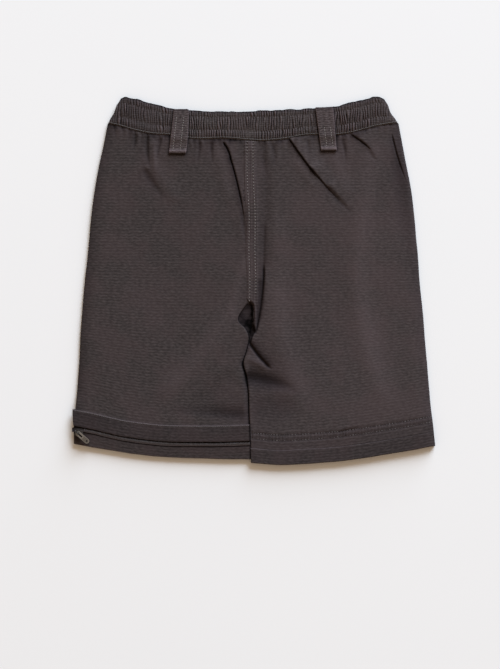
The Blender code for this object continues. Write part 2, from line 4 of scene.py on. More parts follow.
import bpy
import numpy as np
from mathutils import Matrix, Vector


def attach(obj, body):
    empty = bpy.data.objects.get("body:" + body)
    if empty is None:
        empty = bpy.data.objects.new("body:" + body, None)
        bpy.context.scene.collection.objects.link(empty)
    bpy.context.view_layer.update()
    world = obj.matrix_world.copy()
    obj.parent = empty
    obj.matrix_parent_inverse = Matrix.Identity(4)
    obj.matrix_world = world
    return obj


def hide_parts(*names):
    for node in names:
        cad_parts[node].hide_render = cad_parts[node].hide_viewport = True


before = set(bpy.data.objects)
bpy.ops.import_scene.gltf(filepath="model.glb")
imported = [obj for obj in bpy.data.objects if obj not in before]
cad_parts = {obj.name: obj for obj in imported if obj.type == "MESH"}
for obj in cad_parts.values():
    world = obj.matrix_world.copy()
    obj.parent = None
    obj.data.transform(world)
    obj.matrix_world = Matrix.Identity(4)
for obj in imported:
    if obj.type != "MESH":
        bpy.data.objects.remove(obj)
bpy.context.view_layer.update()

# The tables are in millimetres, on the garment's own frame: X across, Y up to the waist, Z up from the table.
MM = 0.001

# Photo: its size in pixels and the pixel over the frame's origin, at one millimetre for a pixel.
PHOTO_SIZE = (500, 669)
PHOTO_ORIGIN = (253.25, 280.45)

# Cloth walls and the heights that the layers lie at, as on the solids.
CLOTH = 0.7
THIN_CLOTH = 0.68
FRONT_TOP = 1.2
FRONT_LIFT = 1.25
FRONT_HEM_TOP = 2.95
FRONT_HEM_THICKNESS = 2.9
LOWER_BAND_TOP = 4.4
ZIP_STRIP_TOP = 5.8
FLAP_THICKNESS = 1.3
HEM_THICKNESS = 1.8
HEM_HEIGHT = 6.4
SIDE_RIM = 2.6
HEM_SIDE_RIM = 4.5
LAYER_GAP = 0.15
SEAM_GAP = 0.1

# Widths of the left leg's hem pieces, measured down from the flap's top edge, and of the right hem.
FLAP_LAP = 6.0
FLAP_WIDTH = 16.6
STRIP_START = 10.4
STRIP_END = 20.8
LOWER_BAND_START = 16.0
LOWER_BAND_LEFT = -179.5
HEM_BAND_WIDTH = 15.0
HEM_ROWS = (30.0, 24.5)

# Rounding of the back where it turns down to the front.
SIDE_ROUND = 16.0
FRONT_ROUND = 3.5
PARTING_ROUND = 5.0
PARTING_FALL = 1.6
# Painted shade along the side folds.
SIDE_SHADE = 0.2
EDGE_WANDER = 0.3
WAIST_END_ROUND = 8.0
RIM_CLIMB = (3.0, 22.0)
HOLLOW_DEPTH = 3.2
HOLLOW_WALL = 0.9

# Puckers under the waist seam, drawn in by the elastic.
PUCKER_REACH = 17.0
PUCKER_SPACING = 6.0
PUCKER_RISE = 1.2
# Painted shadow of the waistband on the panels under the waist seam, and its reach.
SEAM_SHADE = 0.62
SEAM_SHADE_WIDTH = 3.4

# Felled centre-back seam, which stands up from the panels and laps over the left one.
CENTRE_SEAM_HALF = 6.2
CENTRE_SEAM_UNDER = 3.0
CENTRE_SEAM_RISE = 0.5
CENTRE_SEAM_FOOT = -22.0
CENTRE_ROWS = ((-3.0, -20.0), (3.0, -12.0))

# Waistband: gathers on its elastic and two rows of stitching through it, as (share of its height, drop).
GATHER_SPACING = 2.6
GATHER_RISE = 1.7
GATHER_SEED = 7
SEAM_ROW_UP = 1.7
WAIST_WIDTH = 28.0
WAIST_HEIGHT = 5.3
WAIST_END_RIM = 3.2
WAIST_INNER = 2.15
WAIST_EDGE_WAVE = 0.55
ELASTIC_ROWS = ((0.33, 0.6), (0.79, 0.55))

# Belt loops, narrow strips from the waistband's top edge to a folded foot below the waist seam.
Loop = namedtuple(
    "Loop",
    "name top_left top_right top_up foot_left foot_right foot_up bow left_row right_row sewn_from sewn_to",
)
BELT_LOOPS = [
    Loop("belt_loop_left", -79.3, -64.6, 171.2, -84.4, -67.3, 127.0, 0.9, 3.7, 10.9, 162.5, 129.8),
    Loop("belt_loop_right", 61.9, 79.8, 172.9, 67.8, 83.4, 129.7, 0.0, 6.3, 12.4, 152.5, 134.0),
]
LOOP_FOOT_FOLD = 3.0
LOOP_FOOT_THICKNESS = 2.0
LOOP_THICKNESS = 1.2
LOOP_SHOULDER = 1.6

# Stitches: pitch along a row, and a stitch's own length, width and height.
Thread = namedtuple("Thread", "pitch length width height")
TWIN_NEEDLE = Thread(3.1, 1.6, 0.7, 0.45)
SEAM_THREAD = Thread(2.5, 2.1, 0.6, 0.45)
WAIST_THREAD = Thread(1.9, 2.5, 0.4, 0.38)
HEM_THREAD = Thread(2.8, 1.9, 0.55, 0.35)
FLAP_THREAD = Thread(1.9, 2.5, 0.34, 0.32)
ELASTIC_THREAD = Thread(3.0, 1.6, 0.5, 0.35)
ZIP_COIL = Thread(1.25, 0.85, 2.9, 0.9)

# Zip slider and its pull tab, as on the solids: sizes along the tab are measured from its pivot.
PIVOT_PLACE = (-175.9, -151.9)
TAB_TURN_DEG = -41.0
TAB_WIDTH = 4.8
TAB_SLOT = (1.45, 2.4)
TAB_GROOVE = (3.4, 6.2)
TAB_HOLE_ALONG = 12.85

# Painted light: the right leg's panel is painted slightly paler all over.
RIGHT_PANEL_PAINTED_LIGHT = 0.03

# Grid steps of the back and front panels, and the length that their rows are spread over.
STEP = 1.12
FRONT_STEP = 3.0
PANEL_LENGTH = 300.0


def curve_through(table):
    """A smooth function through a table's rows: its first column goes in and its second comes out."""
    knots = np.array(sorted(row[:2] for row in table), float)
    places, values = knots.T
    slopes = np.gradient(values, places)

    def value(at):
        at = np.clip(at, places[0], places[-1])
        i = np.clip(np.searchsorted(places, at, side="right") - 1, 0, len(places) - 2)
        step = places[i + 1] - places[i]
        t = (at - places[i]) / step
        start = values[i] * (1 + 2 * t) * (1 - t) ** 2 + slopes[i] * step * t * (1 - t) ** 2
        end = values[i + 1] * t**2 * (3 - 2 * t) - slopes[i + 1] * step * t**2 * (1 - t)
        return start + end

    return value


# Seams and edges across the garment, as (across, up) wherever they bend.
waist_seam = curve_through([
    (-145.8, 157), (-133.3, 153.9), (-117.3, 149.3), (-101.3, 146.1), (-81.3, 144.9), (-62.3, 141.5),
    (-27.3, 141.7), (9.8, 139.3), (32.8, 141.2), (51.8, 144.7), (82.8, 145.1), (97.8, 147.1),
    (124.8, 154.2), (145.3, 157.5),
])
waist_top = curve_through([
    (-134.5, 181), (-128.3, 183.8), (-123.8, 183), (-103.3, 177.5), (-81.3, 171.8), (-58.3, 170),
    (-23.3, 169), (10.8, 170.1), (59.5, 172.2), (82.5, 174.4), (107.8, 180.1), (125.8, 183.5),
    (132.4, 181),
])
flap_top = curve_through([
    (-180.5, -128.4), (-160.4, -132.4), (-144.6, -136.1), (-128.9, -139.5), (-113.3, -141.8),
    (-99, -143.4), (-84.6, -144.4), (-64.6, -144.9), (-36.3, -145), (-3.3, -143.9),
])
lower_edge = curve_through([
    (-180, -163.2), (-164.7, -166.2), (-150.4, -168.6), (-136.1, -170.9), (-121.8, -173.1),
    (-107.5, -174.8), (-93.3, -176.2), (-71.8, -177.4), (-50.4, -178.1), (-3.3, -178.9),
])
right_hem = curve_through([
    (-2, -182.4), (28.8, -184.6), (46.8, -183.9), (87.8, -180.6), (121.8, -175.8), (145.8, -172),
    (181.5, -165.4),
])

# Edges down the garment, as (up, across).
plain_left_side = curve_through([
    (157, -145.8), (140.5, -149), (99.5, -157.2), (58.5, -162.8), (18.5, -166.5), (-19.5, -170.2),
    (-86.5, -174.8), (-136, -178.4),
])
plain_right_side = curve_through([
    (157.5, 145.5), (128.5, 150.8), (85.5, 158.7), (42.5, 163.3), (-1.5, 166.7), (-40.5, 170.4),
    (-81.5, 174.1), (-127.5, 177.8), (-165, 182.2),
])
centre = curve_through([
    (141, -3.2), (110, -3.2), (92, -2.6), (74, -1.4), (20, -1.2), (2, -0.4), (-20, -0.8), (-55, -2.8),
    (-70.5, -6.3), (-81.5, -9.7), (-96.5, -6.4), (-110.5, -4.8), (-131.5, -4.1), (-184, -2),
])
flap_end = curve_through([
    (-128, -180.5), (-138, -180.3), (-144, -179.7), (-147, -178.6),
])

# The waistband's ends, as (share of its height, across).
waist_left = curve_through([
    (0, -145.6), (0.45, -140), (0.8, -136.2), (1, -133),
])
waist_right = curve_through([
    (0, 145.1), (0.45, 138), (0.8, 134.4), (1, 131.5),
])

# Height of the back's outer face down its length, away from its edges, as (up, rise).
plain_height = curve_through([
    (-184, 6.2), (-145, 6), (-110, 5.5), (-60, 4.9), (40, 4.7), (120, 5), (157, 4.7),
])

# Folds of the back. Each is a trough from start to end, bowed sideways, with a raised bank along one side
# and a softer fall on the other. It fades out from the share of its length named last.
# The shade is the painted shade at its bottom. Narrow ones are sharp, and wide ones soft.
NARROW_FOLD = 2.0
Fold = namedtuple(
    "Fold", "start_across start_up end_across end_up bow half_width depth bank bank_width shade fade"
)
FOLDS = [Fold(*row) for row in (
    # Long slanting fold on the right seat, under the waistband.
    (34, 144, 63.6, 103.5, 0.5, 0.62, 1, 1.9, 11, 1, 0.8),
    (56, 114, 86, 80, 0.6, 0.65, 0.7, 1.1, 12, 0.75, 0.3),
    (72, 95, 100, 66, 0.6, 2.6, 0.8, 0.9, 12, 0.3, 0.3),
    # Short fold beside the right belt loop.
    (97, 146, 117.5, 130.8, -0.8, 0.7, 0.9, 1, 10, 0.95, 0.7),
    (114, 133, 124, 118, 0.8, 2.2, 0.5, 0.4, 7, 0.1, 0.4),
    # Fold beside the top of the centre-back seam, in three stretches.
    (-31, 139, -22.4, 119, -1.6, 0.9, 1.3, 0.9, 7, 1, 0.9),
    (-23.6, 124, -9, 60, -1.3, 0.8, 1.2, 0.8, 7, 1, 0.6),
    (-10.8, 70, -7.6, 36, 0.3, 2, 0.8, -0.4, 6, 0.26, 0.3),
    # Soft dents on the left seat.
    (-110, 112, -89, 82, 1, 3.6, 0.8, 0.5, 12, 0.3, 0.3),
    (-106, 146, -103.5, 112, 1.5, 2, 1, 0.6, 6, 0.42, 0.4),
    (-117, 147, -121, 128, 0, 2, 0.8, 0.4, 6, 0.38, 0.3),
    (-92, 143, -97, 120, 0.8, 1.8, 0.8, 0.4, 6, 0.3, 0.3),
    (-42, 139, -41, 118, 0.6, 2, 0.9, 0.4, 6, 0.36, 0.3),
    (-54, 140, -57, 116, -0.6, 2, 0.8, 0.4, 6, 0.28, 0.3),
    # Soft dents on the right seat.
    (10, 139, 12, 104, 0.8, 3, 0.8, 0.5, 7, 0.18, 0.4),
    (20, 139, 22, 112, 0, 2.2, 0.8, 0.4, 7, 0.28, 0.3),
    (88, 143, 92, 118, -1, 2, 0.9, 0.4, 6, 0.34, 0.3),
    (53, 142, 56, 116, -1, 2.2, 0.6, 0.3, 6, 0.2, 0.3),
    # Soft trough down the right of the centre-back seam.
    (13, 128, 12, 0, 0.8, 6.5, 0.8, 0.5, 12, 0.14, 0.8),
    (11.4, 58, 10.2, -8, 0.6, 1.7, 0.5, 0.3, 6, 0.24, 0.8),
    (10.4, 16, 2.6, -51, -1.9, 1, 1.4, 0.4, 5, 0.95, 0.95),
    (7.4, 2, 3.4, -46, -1.6, 4, 0.8, 0.3, 6, 0.46, 0.8),
    # Slanting fold from the crotch into the right leg.
    (-4.2, -61.7, 17.3, -87.8, 1.2, 1.3, 1.9, -0.15, 6, 1, 0.86),
    (-3, -60.6, 18.8, -86.2, 1.3, 2.8, 0.3, -0.1, 6, 0.4, 0.6),
    # Broad shadowed trough across the top of the right thigh.
    (-10, -95, 46, -112, -3, 6, 1.5, -0.5, 12, 0.66, 0.45),
    (-10, -98, 32, -109, 0, 8, 0.9, -0.2, 8, 0.48, 0.4),
    # Shallow sag above the left leg's flap, beside the parting.
    (-5, -135, -84, -130, 1, 6.5, 1, 0.3, 10, 0.46, 0.15),
    (-18, -92, -62, -130, 0, 8, 0.5, -0.2, 12, 0.05, 0.6),
    # Small slanting pucker over the right hem's rows of stitching.
    (84, -152, 112, -145.5, 0, 1.2, 0.4, 0.2, 4, 0.2, 0.5),
    # Soft shaded sag of the right leg between the thigh trough and its hem.
    (-4, -127, 50, -127, 0, 14, 0.6, 0.1, 10, 0.26, 0.5),
    # Falls of the right leg toward its side, beyond the long ridge.
    (142, 152, 152, 50, 1, 7, 0.6, 0.2, 6, 0.26, 0.3),
    (146, 128, 160, -20, 2, 8, 0.9, 0.2, 8, 0.16, 0.3),
    # Side seam of the right leg, which rolls onto the back below the waistband.
    (138.6, 146.4, 153.5, 98, 1.2, 0.8, 1.2, 0.6, 5, 0.55, 0.6),
)]

# Soft ridges of the back, with a painted highlight along their crests.
Ridge = namedtuple("Ridge", "start_across start_up end_across end_up bow half_width rise rubbed")
RIDGES = [Ridge(*row) for row in (
    (126, 136, 131, -124, 25, 11, 1.1, 0.06), (126, 60, 128, -150, 6, 24, 0.4, 0.035),
    (-8, 20, -24, -40, 2, 4, 0.5, 0.06), (-20, -34, -90, -118, -3, 10, 0.9, 0.045),
    (18, 0, 54, -132, 8, 13, 1, 0.035), (-96, 112, -76, 78, 0, 6, 0.45, 0.02),
    (-99.5, 140, -98.5, 108, 0, 2.6, 0.9, 0.06), (78, 128, 96, 84, 0, 6, 0.6, 0.03),
    (24, 66, 30, -70, 0, 11, 0.5, 0.035), (44, 120, 62, 92, 0, 5, 0.5, 0.04),
    (2.6, -48, 1.8, -22, 0, 1, 0.8, 0.05), (-6, -78, 12, -88, -1, 3.5, 0.8, 0.05),
    (-36, 130, -24, 78, 0, 5, 0.5, 0.04), (-3, 142, -2.6, 128, 0, 5, 0.3, 0.07),
)]

# Broad swells of the back between the folds, as (across, up, half width, half length, rise).
SWELLS = [
    (-85, 40, 45, 70, 0.5), (-100, -60, 30, 50, 0.4), (45, 40, 25, 50, 0.5), (-25, -60, 14, 60, 0.3),
]

# Hollow at the crotch, where the back rise ends, as (up, left wall, right wall, how deep).
HOLLOW = [
    (-20, -3, -1.2, 0), (-23.5, -6.4, -0.8, 0.9), (-27.5, -9.6, -0.6, 1), (-31, -12, -0.5, 1),
    (-34.5, -14.2, -0.4, 1), (-37.5, -15.1, -0.2, 1), (-40.5, -15, 0.1, 1), (-43.5, -12.8, 0.6, 1),
    (-47, -8.9, 1.3, 1), (-51, -6.5, 2.2, 1), (-54.6, -5, 0, 1), (-58, -4.6, -1.4, 0.95),
    (-62, -4.9, -2.4, 0.9), (-65.5, -5.2, -3.2, 0),
]
hollow_left, hollow_right, hollow_deep = (
    curve_through([(row[0], row[i]) for row in HOLLOW]) for i in (1, 2, 3)
)

# Soft unevenness of cloth that has been worn and smoothed by hand, as (size, stretch, rise, seed).
RIPPLES = [
    (64, 2, 0.6, 11), (28, 2, 0.28, 12), (12, 1.6, 0.08, 13), (5.5, 1, 0.03, 14),
]

# Rows up the waistband, as (share of its height, how gathered, drop below its crest).
WAIST_ROWS = [
    (0, 0.3, 1.1), (0.06, 0.6, 0.5), (0.17, 1, 0.05), (0.28, 0.85, 0.2), (0.33, 0.62, 0.38),
    (0.38, 0.85, 0.2), (0.47, 1, 0), (0.66, 1, 0), (0.75, 0.8, 0.15), (0.79, 0.62, 0.32),
    (0.83, 0.8, 0.2), (0.92, 0.9, 0.2), (1, 0.35, 0.9),
]

# Painted shadow on the lower band: a dark line along the pull tab's lower side, the slider's foot and the
# tab's hole.
TAB_SHADOW = Ridge(-178.8, -152.6, -164.2, -164.2, 0.0, 1.5, 0.0, 0.95)
SLIDER_FOOT = (-175.5, -156.5)
TAB_HOLE = (-166.4, -160.1)


def moved(line, by):
    """The same line, moved by a number of millimetres."""
    return lambda at: line(at) + by


def fixed(value):
    """A straight line, or a level face, at one value."""
    return lambda at, _=0: value + 0 * np.asarray(at)


def bell(off, width):
    """1 on a line, falling to 0 beside it."""
    return np.exp(-((off / width) ** 2))


def darkened(shade, dark):
    """One shade laid over another."""
    return 1 - (1 - shade) * (1 - dark)


def rounded(distance, radius):
    """0 at an edge and 1 a radius inside it, with the quarter-round between them."""
    share = np.clip(distance / radius, 0, 1)
    return np.sqrt(1 - (1 - share) ** 2)


def fading(value, start, end):
    """0 at start and 1 at end, eased between them."""
    t = np.clip((value - start) / (end - start), 0, 1)
    return t * t * (3 - 2 * t)


def gone(value, start, end):
    """1 at start and 0 at end, eased between them."""
    return 1 - fading(value, start, end)


def ripple(x, y, size, seed):
    """Smooth unevenness between -1 and 1, about size millimetres from crest to crest."""
    count = 64
    lattice = np.random.default_rng(seed).uniform(-1, 1, (count, count))
    turned_x = (0.80 * x + 0.60 * y) / size + count / 2
    turned_y = (-0.60 * x + 0.80 * y) / size + count / 2
    column, row = (np.floor(turned).astype(int) for turned in (turned_x, turned_y))
    u, v = (t * t * t * (t * (6 * t - 15) + 10) for t in (turned_x - column, turned_y - row))

    def blend(at_row):
        start, end = (lattice[at_row % count, (column + i) % count] for i in (0, 1))
        return start * (1 - u) + end * u

    return blend(row) * (1 - v) + blend(row + 1) * v


def beside(x, y, run):
    """How far along a fold or ridge a point lies, from 0 to 1, and how far off its line in millimetres."""
    across = run.end_across - run.start_across
    up = run.end_up - run.start_up
    length = math.hypot(across, up)
    along = ((x - run.start_across) * across + (y - run.start_up) * up) / length**2
    off = ((x - run.start_across) * up - (y - run.start_up) * across) / length
    reach = np.clip(along, 0, 1)
    return along, off - 4 * run.bow * reach * (1 - reach)


def fold_relief(x, y, fold):
    """Rise or fall that one fold gives the back, and the painted shade at its bottom."""
    along, off = beside(x, y, fold)
    strength = fading(along, -0.03, 0.12) * gone(along, fold.fade, 1.06)
    width = fold.half_width * (0.6 + 0.4 * strength)
    trough = bell(off, width)
    side = -math.copysign(1, fold.bank) * off
    high = np.where(side > 0, bell(side, fold.bank_width), 0)
    low = np.where(side <= 0, bell(side, 4 * fold.half_width), 0)
    if fold.half_width > NARROW_FOLD:
        soft_fall, soft_shade, shaded = 0.3, 0.22, bell(side, width)
    else:
        soft_fall, soft_shade, shaded = 0.12, 0.42, bell(side - 0.45 * width, 0.95 * width)
    bank = (abs(fold.bank) * high - soft_fall * fold.depth * low) * (1 - trough)
    core = np.minimum(1.2 * shaded**1.2, 1)
    shade = strength**0.7 * fold.shade * (core + soft_shade * low * (1 - core))
    return strength * (bank - fold.depth * trough), shade


def ridge_relief(x, y, ridge):
    """Rise that one soft ridge gives the back, and the painted highlight along its crest."""
    along, off = beside(x, y, ridge)
    strength = fading(along, -0.12, 0.15) * gone(along, 0.8, 1.1)
    crest = strength * bell(off, ridge.half_width)
    return ridge.rise * crest, ridge.rubbed * crest


def hollow_relief(x, y):
    """Fall of the back into the hollow at the crotch, and its painted shade."""
    from_left = x - hollow_left(y)
    from_right = hollow_right(y) - x
    deep = np.clip(hollow_deep(y), 0, 1)
    depth = deep * fading(from_left, -0.2, HOLLOW_WALL) * fading(from_right, -0.4, HOLLOW_WALL)
    shaded = deep * fading(from_left, -0.5, 0.3) * fading(from_right, -0.9, -0.1)
    across = from_left / np.maximum(from_left + from_right, 1)
    lower = fading(-y, 33, 45) * (0.45 + 0.55 * fading(across, 0.1, 0.6))
    dark = 0.62 + 0.24 * ripple(x, y, 2.6, 45) + 0.4 * np.maximum(fading(across, 0.72, 0.95), lower)
    wall = (0.7 + 0.28 * fading(-y, 28, 36)) * gone(from_left, 0.6, 1.8)
    shade = shaded * np.clip(np.maximum(dark, wall), 0, 1)
    return -HOLLOW_DEPTH * depth * (0.6 + 0.4 * fading(across, 0.1, 0.8)), shade


def left_side(up):
    """The left side fold, slightly uneven."""
    return plain_left_side(up) + EDGE_WANDER * ripple(0, up, 21, 51)


def right_side(up):
    """The right side fold, slightly uneven."""
    return plain_right_side(up) + EDGE_WANDER * ripple(0, up, 19, 52)


def side_rim(x, y):
    """Height of the back's outer face at the side folds, which climbs onto the thicker front hem."""
    over_hem = np.where(x < centre(y), y - flap_top(x), y - right_hem(x) - HEM_BAND_WIDTH)
    return HEM_SIDE_RIM + (SIDE_RIM - HEM_SIDE_RIM) * fading(over_hem, *RIM_CLIMB)


def pucker(x, y):
    """Small upright puckers under the waist seam, fading down the panel, and the painted shade between them.
    """
    below = waist_seam(x) - y
    wander = 2.4 * ripple(x, y, 13, 31)
    wave = np.abs(np.sin(np.pi * (x + wander) / PUCKER_SPACING)) ** 0.8 - 0.6
    fine = np.sin(2 * np.pi * (x + 1.2 * ripple(x, y, 7, 33)) / 2.9)
    uneven = 0.5 + 0.5 * ripple(x, 0, 17, 32)
    reach = gone(below, 0, PUCKER_REACH * (0.5 + 0.6 * uneven))
    near = gone(below, 0.5, 5)
    rise = PUCKER_RISE * (0.35 + 0.65 * uneven) * wave * reach + 0.22 * fine * near
    return rise, 0.3 * np.clip(-wave * 1.6, 0, 1) * reach


def on_centre_seam(x, y):
    """1 on the felled seam's band and 0 beside it."""
    band = gone(np.abs(x - centre(y)), CENTRE_SEAM_HALF - 0.7, CENTRE_SEAM_HALF)
    return band * fading(y, CENTRE_SEAM_FOOT - 6, CENTRE_SEAM_FOOT)


def stitched_hem_relief(x, y):
    """Grooves along the right hem's two rows of stitching, with fine upright puckers between them, and
    painted shade in the grooves, between the puckers and over the panel below the rows.
    """
    above = y - right_hem(x)
    on_right = fading(x - centre(y), 0, 2)
    groove = sum(bell(above - row, 0.8) for row in HEM_ROWS)
    high, low = HEM_ROWS
    between = fading(above, low - 2, low + 0.5) * gone(above, high - 0.5, high + 2.5)
    uneven = 0.86 + 0.14 * ripple(x, y, 18, 42)
    fine = np.sin(2 * np.pi * (x + 0.9 * ripple(x, y, 8, 41)) / 3.2)
    rise = on_right * (-0.45 * groove + 0.35 * between * fine * uneven)
    shade = on_right * (0.34 * groove + 0.22 * between * np.clip(-fine, 0, 1) * uneven)
    return rise, np.maximum(shade, 0.12 * on_right * gone(above, 26, 34))


def parting_relief(x, y, side):
    """The right leg's inner edge lies on the left leg's, which sinks beside it, with painted shade along the
    parting on both legs.
    """
    in_leg = gone(y, -62, -52)
    off = np.abs(x - centre(y))
    if side < 0:
        fall = PARTING_FALL * gone(off, 0, PARTING_ROUND)
        wide = 0.95 + 1.1 * fading(y, -110, -99) * gone(y, -84, -78)
        shade = np.exp(-((off / wide) ** 4)) + 0.3 * bell(off, 4)
    else:
        fall = 0.8 * (1 - rounded(off, 1.6)) + 0.3 * (1 - rounded(off, PARTING_ROUND))
        shade = 0.5 * bell(off, 0.5)
    return -in_leg * fall, in_leg * np.clip(shade, 0, 1)


def loop_sides(loop, down):
    """Both edges of a belt loop at a share of its length, without its bow."""
    return (
        loop.top_left + (loop.foot_left - loop.top_left) * down,
        loop.top_right + (loop.foot_right - loop.top_right) * down,
    )


def beside_loops(x, y):
    """Painted shade beside the belt loops and under their feet."""
    shade = 0 * x
    for loop in BELT_LOOPS:
        down = np.clip((loop.top_up - y) / (loop.top_up - loop.foot_up), 0, 1)
        left, right = loop_sides(loop, down)
        off = np.maximum(left - x, x - right)
        reach = np.hypot(np.maximum(off, 0), np.maximum(loop.foot_up - y, 0))
        shade = np.maximum(shade, 0.62 * bell(reach, 1.7))
    return shade


def back_relief(x, y, side=1):
    """Height of the back's outer face over the table, its painted shade and its painted highlight."""
    height = plain_height(y)
    shade = rubbed = np.zeros_like(height)
    for across, up, half_width, half_length, rise in SWELLS:
        height = height + rise * np.exp(-(((x - across) / half_width) ** 2 + ((y - up) / half_length) ** 2))
    for size, stretch, rise, seed in RIPPLES:
        height = height + rise * ripple(x, y / stretch, size, seed)
    for ridge in RIDGES:
        rise, pale = ridge_relief(x, y, ridge)
        height, rubbed = height + rise, rubbed + pale
    for relief in (pucker, stitched_hem_relief):
        rise, dark = relief(x, y)
        height, shade = height + rise, np.maximum(shade, dark)
    height = height + CENTRE_SEAM_RISE * on_centre_seam(x, y)
    deep = [fold_relief(x, y, fold) for fold in FOLDS]
    for rise, dark in [*deep, parting_relief(x, y, side), hollow_relief(x, y)]:
        height, shade = height + rise, darkened(shade, dark)
    rim = side_rim(x, y)
    to_side = np.minimum(x - left_side(y), right_side(y) - x)
    height = rim + (height - rim) * rounded(to_side, SIDE_ROUND)
    # Painted shade near the side folds, beside the belt loops and, as the waistband's shadow, under the waist
    # seam.
    shade = darkened(shade, SIDE_SHADE * gone(to_side, 0, 13))
    shade = darkened(shade, beside_loops(x, y))
    below = waist_seam(x) - y
    scallop = 0.66 + 0.8 * ripple(x, 0, 13, 34) + 0.5 * ripple(x, 0, 2.9, 35)
    reach = SEAM_SHADE_WIDTH * (1 + 0.7 * ripple(x, 0, 6.5, 36))
    shade = darkened(shade, np.clip(SEAM_SHADE * scallop * bell(below, reach), 0, 0.9))
    seam_dip = 0.4 * gone(below, 0, 2.5)
    return np.maximum(height - seam_dip, FRONT_TOP + CLOTH), np.clip(shade, 0, 1), rubbed


def waist_crest(x, y):
    """Height of the waistband without its gathers, and 0 at its ends where it turns to the front."""
    share = (y - waist_seam(x)) / (waist_top(x) - waist_seam(x))
    end = rounded(np.minimum(x - waist_left(share), waist_right(share) - x), WAIST_END_ROUND)
    return WAIST_END_RIM + (WAIST_HEIGHT - WAIST_END_RIM) * end, end


def waist_grid(row_shares, columns, bumps=0):
    """The waistband's points: rows from its seam to its top edge, with a slight unevenness of its ends."""
    left = waist_left(row_shares)[:, None] + bumps
    right = waist_right(row_shares)[:, None] - bumps
    x = left + (right - left) * np.linspace(0, 1, columns)
    low = waist_seam(x) + SEAM_GAP
    return x, low + (waist_top(x) - low) * row_shares[:, None]


def grid_between(near, far, top, bottom, across_shares, down_shares):
    """A piece's points: rows from its top line to its bottom line, columns from its near to its far edge."""
    share, down = np.meshgrid(across_shares, down_shares)
    up = 0 * share
    for _ in range(6):
        across = near(up) + (far(up) - near(up)) * share
        up = top(across) + (bottom(across) - top(across)) * down
    return across, up


def shares_with(length, step, *extra):
    """Shares from 0 to 1, about one for each step of the length, with closer ones where they are needed."""
    return np.sort(np.concatenate([np.linspace(0, 1, max(2, round(length / step)) + 1), *extra]))


def drawn_to_folds(across, up, side):
    """Draws the columns of a panel's grid together at its folds, so that narrow troughs keep their form."""

    def drawn(points, on_line, pull, reach):
        away = points - on_line
        return on_line + away * (1 - pull * bell(away, reach))

    made = across.copy()
    if side < 0:
        made = drawn(made, hollow_left(up), 0.65 * np.clip(hollow_deep(up), 0, 1), 7)
    for fold in FOLDS:
        if fold.half_width <= NARROW_FOLD:
            share = np.clip((up - fold.start_up) / (fold.end_up - fold.start_up), 0, 1)
            on_fold = fold.start_across + (fold.end_across - fold.start_across) * share
            by_end = fading(up, fold.end_up - 8, fold.end_up)
            by_start = gone(up, fold.start_up, fold.start_up + 8)
            made = drawn(made, on_fold, 0.6 * by_end * by_start, 9)
    made[:, 0], made[:, -1] = across[:, 0], across[:, -1]
    return made


def grain(x, y):
    """Cloth coordinates in metres, along and across the ribs, which bend with the hems lower down."""
    hem = np.where(x < centre(y), flap_top(x) - flap_top(-90), right_hem(x) - right_hem(90))
    return x * MM, (y - hem * gone(y, -140, 40)) * MM


def linked(name, data):
    """A new object in the scene."""
    made = bpy.data.objects.new(name, data)
    bpy.context.scene.collection.objects.link(made)
    return made


def keep_values(mesh, values):
    """Stores named values on a mesh, one for each point."""
    for label, value in values.items():
        attribute = mesh.attributes.new(label, "FLOAT", "POINT")
        attribute.data.foreach_set("value", np.asarray(value, np.float32).ravel())


def new_mesh(name, points, faces, material, grain_at=None, values=None):
    """A smooth mesh object from points in millimetres, with its cloth UV map and its named values."""
    mesh = bpy.data.meshes.new(name)
    mesh.from_pydata((np.asarray(points) * MM).tolist(), [], [list(face) for face in faces])
    mesh.materials.append(material)
    if grain_at is not None:
        corners = np.empty(len(mesh.loops), np.int32)
        mesh.loops.foreach_get("vertex_index", corners)
        layer = mesh.uv_layers.new(name="cloth")
        layer.data.foreach_set("uv", np.asarray(grain_at)[corners].astype(np.float32).ravel())
    keep_values(mesh, values or {})
    mesh.shade_smooth()
    return linked(name, mesh)


def shell(name, x, y, outer, inner, material, shade=0, edge=0, **values):
    """A closed thin wall of cloth between its outer and its inner heights over one grid of points, with its
    painted shade (shade) and painted highlight (edge).
    """
    rows, columns = x.shape
    count = rows * columns
    index = np.arange(count).reshape(rows, columns)
    a, b, c, d = index[:-1, :-1], index[1:, :-1], index[1:, 1:], index[:-1, 1:]
    over = np.stack([a, b, c, d], -1).reshape(-1, 4)
    turn = (x[0, 1] - x[0, 0]) * (y[1, 0] - y[0, 0]) - (y[0, 1] - y[0, 0]) * (x[1, 0] - x[0, 0])
    flip = slice(None, None, -1 if turn > 0 else 1)
    over = over[:, flip]
    under = over[:, ::-1] + count
    edges = np.concatenate([index[0, :-1], index[:-1, -1], index[-1, :0:-1], index[:0:-1, 0]])
    after = np.roll(edges, -1)
    rim = np.stack([edges, after, after + count, edges + count], -1)[:, flip]
    points = np.concatenate([np.stack([x, y, z], -1).reshape(-1, 3) for z in (outer, inner)])
    uv = np.tile(np.stack(grain(x, y), -1).reshape(-1, 2), (2, 1))
    values.update(shade=shade, edge=edge)
    both = {label: np.tile((value + 0 * x).ravel(), 2) for label, value in values.items()}
    piece = new_mesh(name, points, np.concatenate([over, under, rim]).tolist(), material, uv, both)
    piece.data.set_sharp_from_angle(angle=math.radians(50))
    return piece


def steep_drop(x, y, outer, thickness):
    """How far under the outer face the inner one lies, so that the wall keeps its thickness on slopes."""

    def slope(place, axis):
        step = np.gradient(place, axis=axis)
        return np.gradient(outer, axis=axis) / np.where(np.abs(step) < 1e-6, 1e-6, step)

    return thickness * np.sqrt(1 + np.minimum(slope(x, 1) ** 2 + slope(y, 0) ** 2, 3))


# Node trees

FULL_TURN = 2.0 * math.pi


